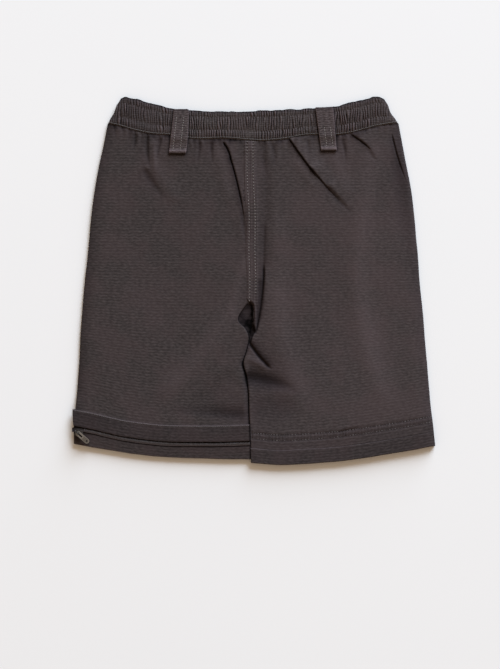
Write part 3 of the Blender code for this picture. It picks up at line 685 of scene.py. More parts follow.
class Wire:
    """An output of a node. Sums of wires and numbers add Math nodes to its tree."""

    def __init__(self, socket):
        self.socket = socket

    def math(self, operation, *others):
        return math_node(self.socket.id_data, operation, self, *others)

    def __add__(self, other):
        return self.math("ADD", other)

    def __sub__(self, other):
        return self.math("SUBTRACT", other)

    def __rsub__(self, other):
        return math_node(self.socket.id_data, "SUBTRACT", other, self)

    def __mul__(self, other):
        return self.math("MULTIPLY", other)

    def __truediv__(self, other):
        return self.math("DIVIDE", other)


def feed(socket, value):
    """Gives an input its plain value, or links it to the output that feeds it."""
    if isinstance(value, Wire):
        socket.id_data.links.new(value.socket, socket)
    else:
        socket.default_value = value


def node(tree, kind, given=(), out=0, **settings):
    """Adds a node with its settings and inputs, and gives its output, or the node when out is None."""
    made = tree.nodes.new(kind)
    for key, value in settings.items():
        setattr(made, key, value)
    for key, value in dict(given).items():
        feed(made.inputs[key], value)
    return made if out is None else Wire(made.outputs[out])


def math_node(tree, operation, *values):
    """A Math node over wires and numbers."""
    return node(tree, "ShaderNodeMath", enumerate(values), operation=operation)


def new_tree(name, kind, inputs, outputs):
    """A node tree with named inputs and outputs, each given by its first value or by its kind."""
    tree = bpy.data.node_groups.new(name, kind)
    kinds = {float: "Float", int: "Int", 3: "Vector", 4: "Color"}
    for in_out, labels in (("INPUT", inputs), ("OUTPUT", outputs)):
        for label, value in labels.items():
            if isinstance(value, str):
                tree.interface.new_socket(name=label, in_out=in_out, socket_type="NodeSocket" + value)
                continue
            kind_of = kinds[len(value) if isinstance(value, tuple) else type(value)]
            socket = tree.interface.new_socket(name=label, in_out=in_out, socket_type="NodeSocket" + kind_of)
            socket.default_value = value
    given = node(tree, "NodeGroupInput", out=None).outputs
    made = node(tree, "NodeGroupOutput", out=None).inputs
    return tree, {label: Wire(given[label]) for label in inputs}, made


def mix_colours(tree, share, first, second, blend="MIX"):
    """The colour between two colours, by a share."""
    mix = node(tree, "ShaderNodeMix", {0: share}, None, data_type="RGBA", blend_type=blend)
    for socket, value in zip([socket for socket in mix.inputs if socket.type == "RGBA"], (first, second)):
        feed(socket, value)
    return Wire(next(socket for socket in mix.outputs if socket.type == "RGBA"))


def along_and_across(tree, place):
    """The first two coordinates of a place."""
    split = node(tree, "ShaderNodeSeparateXYZ", {0: place}, None)
    return Wire(split.outputs[0]), Wire(split.outputs[1])


def noise_at(tree, detail, dimensions, *place):
    """Noise at a place given by its coordinates."""
    vector = node(tree, "ShaderNodeCombineXYZ", enumerate(place))
    given = {"Vector": vector, "Scale": 1.0, "Detail": detail}
    return node(tree, "ShaderNodeTexNoise", given, noise_dimensions=dimensions)


def ribbed_weave_group():
    """Crinkled crosswise ribs that break and wander, with fine threads over them: their height and tone."""
    group, given, made = new_tree(
        "ribbed_weave",
        "ShaderNodeTree",
        {
            "Cloth": "Vector",
            "Rib Pitch": 0.003,
            "Rib Length": 0.0065,
            "Thread Pitch": 0.0008,
            "Wander": 0.0022,
        },
        {"Height": "Float", "Tone": "Float"},
    )
    along, across = along_and_across(group, given["Cloth"])
    length, pitch = given["Rib Length"], given["Rib Pitch"]

    def noise(along_size, across_size, detail):
        return noise_at(group, detail, "2D", along / along_size, across / across_size)

    drift = noise(length, length * 1.6, 1.0) - 0.5
    turns = (drift * given["Wander"] + across) / pitch
    rib = (turns * FULL_TURN).math("SINE") * 0.5 + 0.5
    spread = {"From Min": 0.36, "From Max": 0.62, "To Min": 0.5, "Value": noise(length, pitch * 2.2, 1.0)}
    whole = node(group, "ShaderNodeMapRange", spread)
    crinkle = noise(length * 0.8, pitch * 0.62, 2.0)
    every_other = (turns * 3.0).math("FLOOR") * math.pi
    thread = (along / given["Thread Pitch"] * FULL_TURN + every_other).math("SINE")
    high = crinkle * 1.3 + rib * whole * 0.5
    feed(made["Height"], thread * 0.05 + high)
    feed(made["Tone"], high - 0.5)
    return group


def crossed_ties_group():
    """Small crossed ties of thread, as over a felled seam: lighter where they lie and darker between them."""
    inputs = {"Cloth": "Vector", "Pitch": 0.0058}
    group, given, made = new_tree("crossed_ties", "ShaderNodeTree", inputs, {"Tone": "Float"})
    along, across = along_and_across(group, given["Cloth"])
    rising, falling = (
        (slant / given["Pitch"] * FULL_TURN).math("SINE") for slant in (along + across, along - across)
    )
    feed(made["Tone"], rising * falling)
    return group


def colour_drift_group():
    """Slow changes of tint over the cloth, from cool grey to warm brown, and a fine fleck."""
    group, given, made = new_tree(
        "colour_drift",
        "ShaderNodeTree",
        {"Cloth": "Vector", "Patch Scale": 26.0, "Fleck Scale": 700.0},
        {"Warmth": "Float", "Fleck": "Float"},
    )

    def noise(scale, detail, roughness):
        inputs = {"Vector": given["Cloth"], "Scale": given[scale], "Detail": detail, "Roughness": roughness}
        return node(group, "ShaderNodeTexNoise", inputs, noise_dimensions="2D")

    spread = {"From Min": 0.38, "From Max": 0.62, "Value": noise("Patch Scale", 2.0, 0.55)}
    feed(made["Warmth"], node(group, "ShaderNodeMapRange", spread))
    feed(made["Fleck"], noise("Fleck Scale", 1.0, 0.5))
    return group


def painted_shade_and_highlight_group():
    """Colour with painted shade taken off, cooler as it deepens, and painted highlights put on."""
    cool_shade = (1.0, 0.97, 1.06, 1.0)
    deep_shade = (0.0009, 0.0006, 0.0007, 1.0)
    group, given, made = new_tree(
        "painted_shade_and_highlight",
        "ShaderNodeTree",
        {
            "Colour": (0.05, 0.05, 0.05, 1.0),
            "Shade": 0.0,
            "Edge": 0.0,
            "Edge Colour": (0.205, 0.15, 0.16, 1.0),
        },
        {"Colour": "Color"},
    )
    cooler = mix_colours(group, given["Shade"], given["Colour"], cool_shade, "MULTIPLY")
    darker = mix_colours(group, given["Shade"], cooler, deep_shade)
    feed(made["Colour"], mix_colours(group, given["Edge"], darker, given["Edge Colour"]))
    return group


def painted_tab_light_group():
    """Painted highlight on a pull tab along its outline and round the groove in it, and painted shade inside
    the groove.
    """
    inputs = {
        "Place": "Vector",
        "Pivot": tuple(value * MM for value in (*PIVOT_PLACE, 0.0)),
        "Turn": math.radians(-TAB_TURN_DEG),
        "Half Width": 0.5 * TAB_WIDTH * MM,
        "Rim": 0.0006,
    }
    groove_edge, groove_half = 0.0014, 0.0009
    outputs = {"Mask": "Float", "Groove": "Float"}
    group, given, made = new_tree("painted_tab_light", "ShaderNodeTree", inputs, outputs)
    turn = {"Vector": given["Place"], "Center": given["Pivot"], "Angle": given["Turn"]}
    level = node(group, "ShaderNodeVectorRotate", turn, rotation_type="Z_AXIS")
    from_pivot = node(group, "ShaderNodeVectorMath", {0: level, 1: given["Pivot"]}, operation="SUBTRACT")
    along, across = along_and_across(group, from_pivot)

    def reach(start, end):
        beyond = along - along.math("MAXIMUM", start * MM).math("MINIMUM", end * MM)
        return (across * across + beyond * beyond).math("SQRT")

    def band(distance, middle):
        return (1.0 - (distance - middle).math("ABSOLUTE") / given["Rim"]).math("MAXIMUM", 0.0)

    outline = band(reach(TAB_SLOT[0], TAB_HOLE_ALONG), given["Half Width"])
    groove = reach(*TAB_GROOVE)
    feed(made["Mask"], outline.math("MAXIMUM", band(groove, groove_edge)))
    inside = (1.0 - groove / groove_half) * 3.0
    feed(made["Groove"], inside.math("MAXIMUM", 0.0).math("MINIMUM", 1.0))
    return group


def new_material(name, roughness, sheen=0.0, metallic=0.0, specular=0.25):
    """A material with its shader's constant values set on the shader's own sockets."""
    material = bpy.data.materials.new(name)
    material.use_nodes = True
    shader = material.node_tree.nodes["Principled BSDF"]
    for label, value in {
        "Roughness": roughness,
        "Metallic": metallic,
        "Sheen Weight": sheen,
        "Sheen Roughness": 0.45,
        "Sheen Tint": (0.8, 0.78, 0.76, 1.0),
        "Specular IOR Level": specular,
    }.items():
        shader.inputs[label].default_value = value
    return material, material.node_tree, shader.inputs


def raise_surface(tree, surface, height, strength, distance):
    """Fine relief of a surface."""
    given = {"Strength": strength, "Distance": distance, "Height": height}
    feed(surface["Normal"], node(tree, "ShaderNodeBump", given))


# Colours of the cloth, in linear light, and how strongly the ties over the felled seam show.
TIE_CONTRAST = 1.3
Tint = namedtuple("Tint", "dark light warm")
BODY_TINT = Tint((0.0337, 0.0277, 0.0275, 1.0), (0.0715, 0.0588, 0.0584, 1.0), (0.068, 0.047, 0.0484, 1.0))
WAIST_TINT = Tint((0.035, 0.0296, 0.0292, 1.0), (0.097, 0.082, 0.0806, 1.0), (0.066, 0.047, 0.048, 1.0))
LOOP_TINT = Tint((0.032, 0.026, 0.0265, 1.0), (0.12, 0.098, 0.099, 1.0), (0.088, 0.063, 0.066, 1.0))
TAPE_TINT = Tint((0.044, 0.04, 0.041, 1.0), (0.105, 0.094, 0.094, 1.0), (0.075, 0.062, 0.062, 1.0))


def cloth_material(name, tint, rib_pitch=0.003, bump=0.0001):
    """Ribbed cotton: weave, slow changes of tint, and the painted shade and painted highlights that each
    piece carries.
    """
    material, tree, surface = new_material(name, 0.88, sheen=0.02, specular=0.04)
    cloth = node(tree, "ShaderNodeUVMap", uv_map="cloth")

    def group(label, **inputs):
        given = {key.replace("_", " "): value for key, value in inputs.items()}
        return node(tree, "ShaderNodeGroup", given, None, node_tree=GROUPS[label]).outputs

    # Painted shade ('shade'), painted highlight ('edge') and where the seam's ties lie ('crossed'), as each
    # piece carries them.
    shade, edge, crossed = (
        node(tree, "ShaderNodeAttribute", (), "Fac", attribute_name=label)
        for label in ("shade", "edge", "crossed")
    )
    weave = group("weave", Cloth=cloth, Rib_Pitch=rib_pitch, Rib_Length=rib_pitch * 1.5)
    drift = group("drift", Cloth=cloth)
    fleck = Wire(drift["Fleck"])
    ties = Wire(group("ties", Cloth=cloth)["Tone"]) * (crossed * TIE_CONTRAST)
    plain = mix_colours(tree, Wire(weave["Tone"]) + ties, tint.dark, tint.light)
    warmed = mix_colours(tree, Wire(drift["Warmth"]) * 0.3, plain, tint.warm)
    feed(surface["Base Color"], Wire(group("edge", Colour=warmed, Shade=shade, Edge=edge)["Colour"]))
    feed(surface["Roughness"], fleck * 0.14 + 0.8)
    raise_surface(tree, surface, fleck * 0.2 + Wire(weave["Height"]), 1.0, bump)
    return material


def thread_material(name, colour):
    """Twisted sewing thread, with lighter and darker bands along its twist."""
    material, tree, surface = new_material(name, 0.6, sheen=0.2)
    place = node(tree, "ShaderNodeTexCoord", (), "Object")
    given = {"Scale": 900.0, "Distortion": 1.5, "Vector": place}
    twist = node(tree, "ShaderNodeTexWave", given, "Fac", wave_type="BANDS", bands_direction="DIAGONAL")
    low = tuple(0.6 * value for value in colour[:3]) + (1.0,)
    feed(surface["Base Color"], mix_colours(tree, twist, low, colour))
    raise_surface(tree, surface, twist, 0.4, 0.0001)
    return material


# Plated metal: dark and light ends of its wear, the painted highlight of its rims and the painted shade of
# its groove, in linear light.
Plating = namedtuple("Plating", "dark light rim groove")
DULL, WORN = (0.04, 0.039, 0.04, 1.0), (0.12, 0.117, 0.117, 1.0)
SLIDER_PLATING = Plating(DULL, WORN, WORN, DULL)
TAB_PLATING = Plating(
    (0.15, 0.148, 0.146, 1.0), (0.25, 0.247, 0.244, 1.0), (0.42, 0.415, 0.41, 1.0), (0.015, 0.014, 0.015, 1.0)
)


def metal_material(name, plating):
    """Dull grey plated zinc with fine wear, a painted highlight along its rims and painted shade in the pull
    tab's groove.
    """
    material, tree, surface = new_material(name, 0.4, metallic=1.0, specular=0.5)
    place = node(tree, "ShaderNodeTexCoord", (), "Object")
    wear = node(tree, "ShaderNodeTexNoise", {"Scale": 700.0, "Detail": 3.0, "Vector": place}, "Fac")
    rim = node(tree, "ShaderNodeGroup", {"Place": place}, None, node_tree=GROUPS["rim"]).outputs
    worn = mix_colours(tree, wear, plating.dark, plating.light)
    rubbed = mix_colours(tree, Wire(rim["Mask"]), worn, plating.rim)
    feed(surface["Base Color"], mix_colours(tree, Wire(rim["Groove"]), rubbed, plating.groove))
    feed(surface["Roughness"], wear * 0.3 + 0.3)
    raise_surface(tree, surface, wear, 0.15, 0.0001)
    return material


def floor_material():
    """Plain pale table, with a grain too fine to see as a pattern."""
    material, tree, surface = new_material("pale_table", 0.75)
    place = node(tree, "ShaderNodeTexCoord", (), "Object")
    mottle = node(tree, "ShaderNodeTexNoise", {"Scale": 3.0, "Vector": place}, "Fac")
    cool, pale = (0.86, 0.86, 0.865, 1.0), (0.875, 0.872, 0.872, 1.0)
    feed(surface["Base Color"], mix_colours(tree, mottle, cool, pale))
    return material


def finished(tree, made, material, geometry):
    """Ends a geometry tree: its instances become plain mesh and take the material."""
    whole = node(tree, "GeometryNodeRealizeInstances", {0: geometry})
    feed(made["Geometry"], node(tree, "GeometryNodeSetMaterial", {0: whole, "Material": material}))
    return tree


def stitch_tree():
    """Small rounded stitches along each line of the geometry."""
    inputs = {
        "Geometry": "Geometry",
        "Pitch": 0.003,
        "Stitch Size": (0.002, 0.0006, 0.0004),
        "Unevenness": 0.12,
        "Seed": 1,
        "Thread": "Material",
    }
    outputs = {"Geometry": "Geometry"}
    tree, given, made = new_tree("stitches_along_a_line", "GeometryNodeTree", inputs, outputs)
    line = node(tree, "GeometryNodeMeshToCurve", {0: given["Geometry"]})
    spots = node(tree, "GeometryNodeCurveToPoints", (), None, mode="LENGTH")
    feed(spots.inputs[0], line)
    feed(spots.inputs["Length"], given["Pitch"])
    bead = node(tree, "GeometryNodeMeshUVSphere", {"Segments": 6, "Rings": 5, "Radius": 0.5})
    sized = node(tree, "GeometryNodeTransform", {0: bead, "Scale": given["Stitch Size"]})
    smooth = node(tree, "GeometryNodeSetShadeSmooth", {0: sized})
    tangent = Wire(spots.outputs["Tangent"])
    turn = node(tree, "FunctionNodeAlignRotationToVector", {"Vector": tangent}, axis="X")
    spread = {"Seed": given["Seed"], 0: (-1.0, -1.0, -1.0), 1: (1.0, 1.0, 1.0)}
    chance = node(tree, "FunctionNodeRandomValue", spread, data_type="FLOAT_VECTOR")
    wobble = node(tree, "ShaderNodeVectorMath", {0: chance, "Scale": given["Unevenness"]}, operation="SCALE")
    scale = node(tree, "ShaderNodeVectorMath", {0: wobble, 1: (1.0, 1.0, 1.0)}, operation="ADD")
    rows = {"Points": Wire(spots.outputs["Points"]), "Instance": smooth, "Rotation": turn, "Scale": scale}
    return finished(tree, made, given["Thread"], node(tree, "GeometryNodeInstanceOnPoints", rows))


def gather_tree():
    """Gathers on a strip: uneven rounded ridges that wander and join, pinched where the strip is stitched,
    with painted shade in their valleys and a painted highlight on their crests.
    """
    inputs = {
        "Geometry": "Geometry",
        "Spacing": 0.0029,
        "Rise": 0.001,
        "Wander": 0.9,
        "Seed": 1,
        "Cloth": "Material",
    }
    outputs = {"Geometry": "Geometry"}
    tree, given, made = new_tree("gathers_on_elastic", "GeometryNodeTree", inputs, outputs)
    along, upward, zone, amount, painted_waist_shade = (
        node(tree, "GeometryNodeInputNamedAttribute", {"Name": label}, data_type="FLOAT")
        for label in ("along", "upward", "zone", "gathered", "painted_waist_shade")
    )

    def noise(scale_along, scale_up, detail):
        seed = given["Seed"]
        return noise_at(tree, detail, "3D", along * scale_along, upward * scale_up + zone, seed) - 0.5

    def stored(geometry, label, value):
        values = {0: geometry, "Name": label, "Value": value}
        return node(tree, "GeometryNodeStoreNamedAttribute", values, data_type="FLOAT", domain="POINT")

    turns = along / given["Spacing"] + noise(120.0, 52.0, 1.0) * (given["Wander"] * 4.0)
    ridge = (turns * math.pi).math("SINE").math("ABSOLUTE").math("POWER", 0.75)
    uneven = (noise(190.0, 42.0, 1.0) * 3.0 + 0.85).math("MAXIMUM", 0.15)
    lifted = (ridge - 0.62) * uneven + noise(900.0, 130.0, 2.0) * 0.35
    offset = node(tree, "ShaderNodeCombineXYZ", {2: lifted * (amount * given["Rise"])})
    raised = node(tree, "GeometryNodeSetPosition", {0: given["Geometry"], "Offset": offset})
    # Painted shade in the valleys, never lighter than the strip's own painted shade, and a painted highlight
    # on the crests.
    depth = (noise(230.0, 46.0, 1.0) * 4.2 + 0.66).math("MAXIMUM", 0.12).math("MINIMUM", 1.0)
    valley = (1.0 - (ridge * (depth * -0.9 + 2.3)).math("MINIMUM", 1.0)) * (amount * depth)
    crest = (ridge * uneven).math("POWER", 5.0).math("MINIMUM", 1.5) * (amount * 0.12)
    shaded = stored(raised, "shade", valley.math("MAXIMUM", painted_waist_shade))
    return finished(tree, made, given["Cloth"], stored(shaded, "edge", crest))


def grown(name, holder, tree, values):
    """The plain mesh that a tree makes on a holder object, with its inputs set by their sockets."""
    modifier = holder.modifiers.new("grow", "NODES")
    modifier.node_group = tree
    for socket in tree.interface.items_tree:
        if socket.item_type == "SOCKET" and socket.in_out == "INPUT" and socket.name in values:
            modifier[socket.identifier] = values[socket.name]
    bpy.context.view_layer.update()
    shaped = holder.evaluated_get(bpy.context.evaluated_depsgraph_get())
    mesh = bpy.data.meshes.new_from_object(shaped)
    mesh.name = name
    old = holder.data
    bpy.data.objects.remove(holder)
    bpy.data.meshes.remove(old)
    return linked(name, mesh)


def dress(piece, slot, *solids, **sheet):
    """Rides a piece on the garment and hides the solids that it stands for. Its slot and sheet are not used.
    """
    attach(piece, "garment")
    if solids:
        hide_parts(*solids)


def sew(name, lines, thread, finish, seed, slot="cloth"):
    """Rows of stitches along lines."""
    points, edges = [], []
    for line in lines:
        start = len(points)
        points += [(x * MM, y * MM, z * MM) for x, y, z in line]
        edges += [(start + i, start + i + 1) for i in range(len(line) - 1)]
    mesh = bpy.data.meshes.new("line")
    mesh.from_pydata(points, edges, [])
    size = (thread.length * MM, thread.width * MM, thread.height * MM)
    values = {"Pitch": thread.pitch * MM, "Stitch Size": size, "Unevenness": 0.12, "Seed": seed}
    values["Thread"] = FINISHES[finish]
    dress(grown(name, linked("line", mesh), TREES["stitches"], values), slot)


def on_back(xs, ys, lift=0.05):
    """A line on the back's outer face."""
    return list(zip(xs, ys, back_relief(xs, ys)[0] + lift))


# Pieces

def back_panel(name, side, bottom, tone, **sheet):
    """One back leg panel. The right one laps over the left one at the felled centre-back seam."""
    edge = left_side if side < 0 else right_side
    lap = CENTRE_SEAM_UNDER if side < 0 else CENTRE_SEAM_HALF
    near = lambda up: centre(up) - lap * fading(up, CENTRE_SEAM_FOOT - 4, CENTRE_SEAM_FOOT + 6)
    width = abs(edge(0) - near(0))
    by_centre = np.array([0.35, 0.7, 1.5, 1.9, 2.7, 3.2]) / width
    by_side = 1 - np.array([0.25, 0.6, 1.6, 2.8]) / width
    across, down = shares_with(width, STEP, by_centre, by_side), shares_with(PANEL_LENGTH, STEP)
    x, y = grid_between(near, edge, moved(waist_seam, -SEAM_GAP), bottom, across, down)
    x = drawn_to_folds(x, y, side)
    outer, shade, rubbed = back_relief(x, y, side)
    if side < 0:
        outer = outer - 0.6 * on_centre_seam(x, y)
    inner = np.maximum(outer - steep_drop(x, y, outer, CLOTH), FRONT_TOP + 0.05)
    inner = np.minimum(inner, outer - 0.3)
    crossed = on_centre_seam(x, y) * np.clip(0.55 + 0.6 * ripple(0, y, 21, 46), 0.15, 1)
    material = FINISHES["body"]
    # Its cloth carries the back's painted shade and painted highlight, with the panel's own painted light
    # (tone) added.
    piece = shell(name + "_cloth", x, y, outer, inner, material, shade, rubbed + tone, crossed=crossed)
    dress(piece, "cloth", name, held="laid", rests_on=[], **sheet)


def front_panel(name, side, bottom, **sheet):
    """One front leg panel: flat where it rests, with a few soft folds that lift off the table."""
    edge = left_side if side < 0 else right_side
    width = abs(edge(0) - centre(0))
    across = shares_with(width, FRONT_STEP, 1 - np.array([0.3, 0.8, 1.5, 2.4]) / width)
    down = shares_with(PANEL_LENGTH, FRONT_STEP)
    near, top = moved(centre, side * SEAM_GAP), moved(waist_seam, -SEAM_GAP)
    x, y = grid_between(near, edge, top, bottom, across, down)
    lift = FRONT_LIFT * (1 - rounded(np.abs(edge(y) - x), FRONT_ROUND))
    for size, _, _, seed in RIPPLES[:2]:
        lift = lift + 0.35 * np.maximum(ripple(x, y, size, seed + 50), 0)
    low = np.minimum(lift, FRONT_LIFT)
    piece = shell(name + "_cloth", x, y, low + THIN_CLOTH, low, FINISHES["body"])
    dress(piece, "cloth", name, held="laid", rests_on=[], **sheet)


def uneven_edge(line):
    """The same line with a slight unevenness, as of an edge turned by hand."""
    return lambda x: line(x) + 0.3 * ripple(x, line(x), 33, 53) + 0.12 * ripple(x, line(x), 9, 54)


def strip(
    name, solid, flat, edges, height, thickness,
    finish="body", slot="cloth", pale=(0, 0), under=None, shadow=1.7, base=None, step=1.6,
):
    """A strip of folded cloth along a hem, with rounded long edges, between its two ends, its top and its
    bottom. pale is its painted highlight along top and bottom; under is the edge over it, whose shadow is
    painted on it."""
    start, far, top, bottom = edges
    middle = -90 if start(-150) < -90 else 90
    length = abs(far(-150) - start(-150))
    width = abs(top(middle) - bottom(middle))
    top, bottom = uneven_edge(top), uneven_edge(bottom)
    inset = np.array([0, 0.15, 0.4, 0.8, 1.3])
    inside = np.linspace(inset[-1], width - inset[-1], max(3, round(width / step)) + 1)[1:-1]
    down = np.concatenate([inset, inside, width - inset[::-1]]) / width
    by_end = np.array([0.4, 0.9]) / length
    across = shares_with(length, step, by_end, 1 - by_end)
    x, y = grid_between(start, far, top, bottom, across, down)
    fall = 0.45 * thickness * (1 - rounded(np.minimum(top(x) - y, y - bottom(x)) + 0.02, 0.9))
    outer = height(x, y) - fall
    inner = height(x, y) - thickness + fall
    # Painted highlight along its top and bottom, then painted shade: an even darkening or its base's, the
    # painted shadow of the edge over it, and a painted dark line along the parting.
    light = pale[0] * gone(top(x) - y, 0.3, 1.3) + pale[1] * gone(y - bottom(x), 0.3, 1.1)
    shade = base(x, y) if base else 0.16 + 0 * x
    if under is not None:
        clear = under(x) - y
        near = 0.9 * gone(clear, 0.3 * shadow, shadow)
        shade = shade + near + 0.2 * bell(np.maximum(clear, 0), 2.2)
    shade = np.maximum(shade, np.where(x < centre(y), 0.92 * bell(centre(y) - x, 1.1), 0))
    piece = shell(name, x, y, outer, inner, FINISHES[finish], np.clip(shade, 0, 1), light)
    dress(piece, slot, solid, flat=flat, held="folded")


def flap_height(x, y):
    """The flap lies on the panel at its top and comes down to the zip strip at its lower edge."""
    down = fading(flap_top(x) - y, FLAP_LAP, FLAP_WIDTH)
    on_panel = plain_height(flap_top(x)) + LAYER_GAP
    base = on_panel + (ZIP_STRIP_TOP + LAYER_GAP - on_panel) * down + FLAP_THICKNESS
    return base + 0.18 * ripple(x, y, 26, 61) + 0.06 * ripple(x, y, 9, 62)


def strip_end(up):
    """The zip strip's left end: under the flap, and cut longer below it."""
    return -178.3 - 2.8 * gone(up, -147.3, -146.3)


def strip_bottom(x):
    """The zip strip's lower edge, which drops at the strip's cut left end."""
    return flap_top(x) - STRIP_END - 2 * gone(x, -178.6, -177.6)


def strip_height(x, y):
    """The zip strip's outer face, slightly soft."""
    return ZIP_STRIP_TOP + 0.05 * ripple(x, y, 24, 63) + 0.02 * ripple(x, y, 9, 64)


def lower_band_height(x, y):
    """The lower band's outer face, which swells softly beside the zip strip's lower edge."""
    clear = flap_top(x) - STRIP_END - y
    swell = 0.7 * fading(clear, -0.2, 0.9) * (1 - 0.5 * fading(clear, 4, 12)) * fading(x, -171, -158)
    return LOWER_BAND_TOP + swell + 0.12 * ripple(x, y, 24, 65) + 0.05 * ripple(x, y, 9, 66)


def by_strip_end(x, y):
    """Painted shade of the zip strip, deeper at its left end beside the slider."""
    return 0.16 + 0.45 * gone(x, -180, -172)


def by_slider(x, y):
    """Painted shadow on the lower band, deep close beside the pull tab's lower side and under its hole."""
    near = ((x - SLIDER_FOOT[0]) / 4.5) ** 2 + ((y - SLIDER_FOOT[1]) / 5) ** 2
    in_hole = np.hypot(x - TAB_HOLE[0], y - TAB_HOLE[1])
    beside_tab = np.maximum(0.08 + 0.26 * np.exp(-(near**2)), ridge_relief(x, y, TAB_SHADOW)[1])
    return np.maximum(beside_tab, 0.85 * bell(in_hole, 1.3))


def by_flap_end(x, y):
    """Painted shade of the flap, a little darker toward its left end."""
    return 0.2 + 0.13 * gone(x, -172, -120)


def right_hem_height(x, y):
    """The right hem band's outer face, turned down at the side."""
    turn = rounded(right_side(y) - x, SIDE_ROUND)
    base = HEM_SIDE_RIM + (HEM_HEIGHT - HEM_SIDE_RIM) * turn
    inner_turn = rounded(x - centre(y), PARTING_ROUND)
    return base - 0.5 * (1 - inner_turn) + 0.15 * ripple(x, y, 26, 71) * turn


def waistband_back():
    """The back waistband: a plain folded strip whose outer face the tree gathers."""
    row_shares = shares_with(36, 1, [0.01, 0.985])
    rows = row_shares[:, None]
    x, y = waist_grid(row_shares, 801, 0.5 * ripple(0, rows * WAIST_WIDTH, 4.5, 85))
    crest, end = waist_crest(x, y)
    gathered = curve_through([(share, amount) for share, amount, _ in WAIST_ROWS])(rows)
    drop = curve_through([(share, fall) for share, _, fall in WAIST_ROWS])(rows)
    outer = crest - drop * end + 0.25 * ripple(x, y, 30, 81) * end
    inner = np.minimum(WAIST_INNER + 0 * x, outer - 0.5)
    amount = gathered * np.clip(end, 0.15, 1) * fading(np.minimum(rows, 1 - rows), -0.01, 0.02)
    patch = np.exp(-(((x + 4) / 6.5) ** 4)) * gone(rows, 0.35, 0.5)
    amount = amount * (1 - 0.7 * patch) * np.clip(0.98 + 0.5 * ripple(x, y, 12, 86), 0.45, 1.35)
    edge_wave = ripple(x, 0, 7, 83) + 0.6 * ripple(x, 0, 3.4, 84)
    y = y + WAIST_EDGE_WAVE * edge_wave * fading(rows, 0.8, 1) * end
    # Painted shade along the top edge, at both ends and beside the belt loops; the gather tree takes the
    # darker of it and its painted valley shade.
    top_shade = 0.3 * fading(rows, 0.87, 0.94) + 0.63 * fading(rows, 0.94, 0.985)
    ends_shade = 0.2 * gone(x, -112, -80) + 0.04 * fading(x, 84, 96)
    painted_waist_shade = np.maximum(np.maximum(beside_loops(x, y), ends_shade), top_shade)
    (lower, _), (upper, _) = ELASTIC_ROWS
    zones = np.where(rows < lower, 0, np.where(rows < upper, 0.6, 1.3))
    places = {"along": x * MM, "upward": y * MM, "zone": zones}
    flat = shell("waist_strip", x, y, outer, inner, FINISHES["waist"], **places)
    keep_values(flat.data, {"gathered": [amount, 0 * x], "painted_waist_shade": [painted_waist_shade, top_shade + 0 * x]})
    values = {"Spacing": GATHER_SPACING * MM, "Rise": GATHER_RISE * MM, "Wander": 0.5, "Seed": GATHER_SEED}
    values["Cloth"] = FINISHES["waist"]
    piece = grown("waistband_gathered", flat, TREES["gathers"], values)
    dress(piece, "waistband", "waistband_back", flat=(0.42, 0.028), held="gathered")


def waistband_front():
    """The front waistband, flat on the table, with rounded edges."""
    row_shares = np.array([0, 0.02, 0.05, 0.1, 0.25, 0.5, 0.75, 0.9, 0.95, 0.98, 1])
    x, y = waist_grid(row_shares, 291)
    share = row_shares[:, None]
    to_end = np.minimum(x - waist_left(share), waist_right(share) - x)
    turn = rounded(np.minimum(np.minimum(share, 1 - share) * WAIST_WIDTH, to_end) + 0.02, 1.2)
    gathers = 0.12 * np.sin(2 * np.pi * (x + 2 * ripple(x, y, 9, 91)) / GATHER_SPACING) * turn
    outer, inner = FRONT_LIFT + 0.7 * turn + gathers, 0.75 * (1 - turn)
    # Painted shade along its top rows.
    piece = shell("waistband_under", x, y, outer, inner, FINISHES["waist"], 0.6 * fading(share, 0.9, 0.98))
    dress(piece, "waistband", "waistband_front", flat=(0.29, 0.028), held="laid")


def under_loop(left, right, up, reach=2.6):
    """The highest cloth under one row of a belt loop."""
    x, y = np.meshgrid(np.linspace(left, right, 7), np.linspace(up - reach, up + reach, 7))
    y = np.minimum(y, waist_top(x))
    on_waist = y > waist_seam(x) - 0.3
    return np.where(on_waist, waist_crest(x, y)[0] + 0.45 * GATHER_RISE, back_relief(x, y)[0]).max()


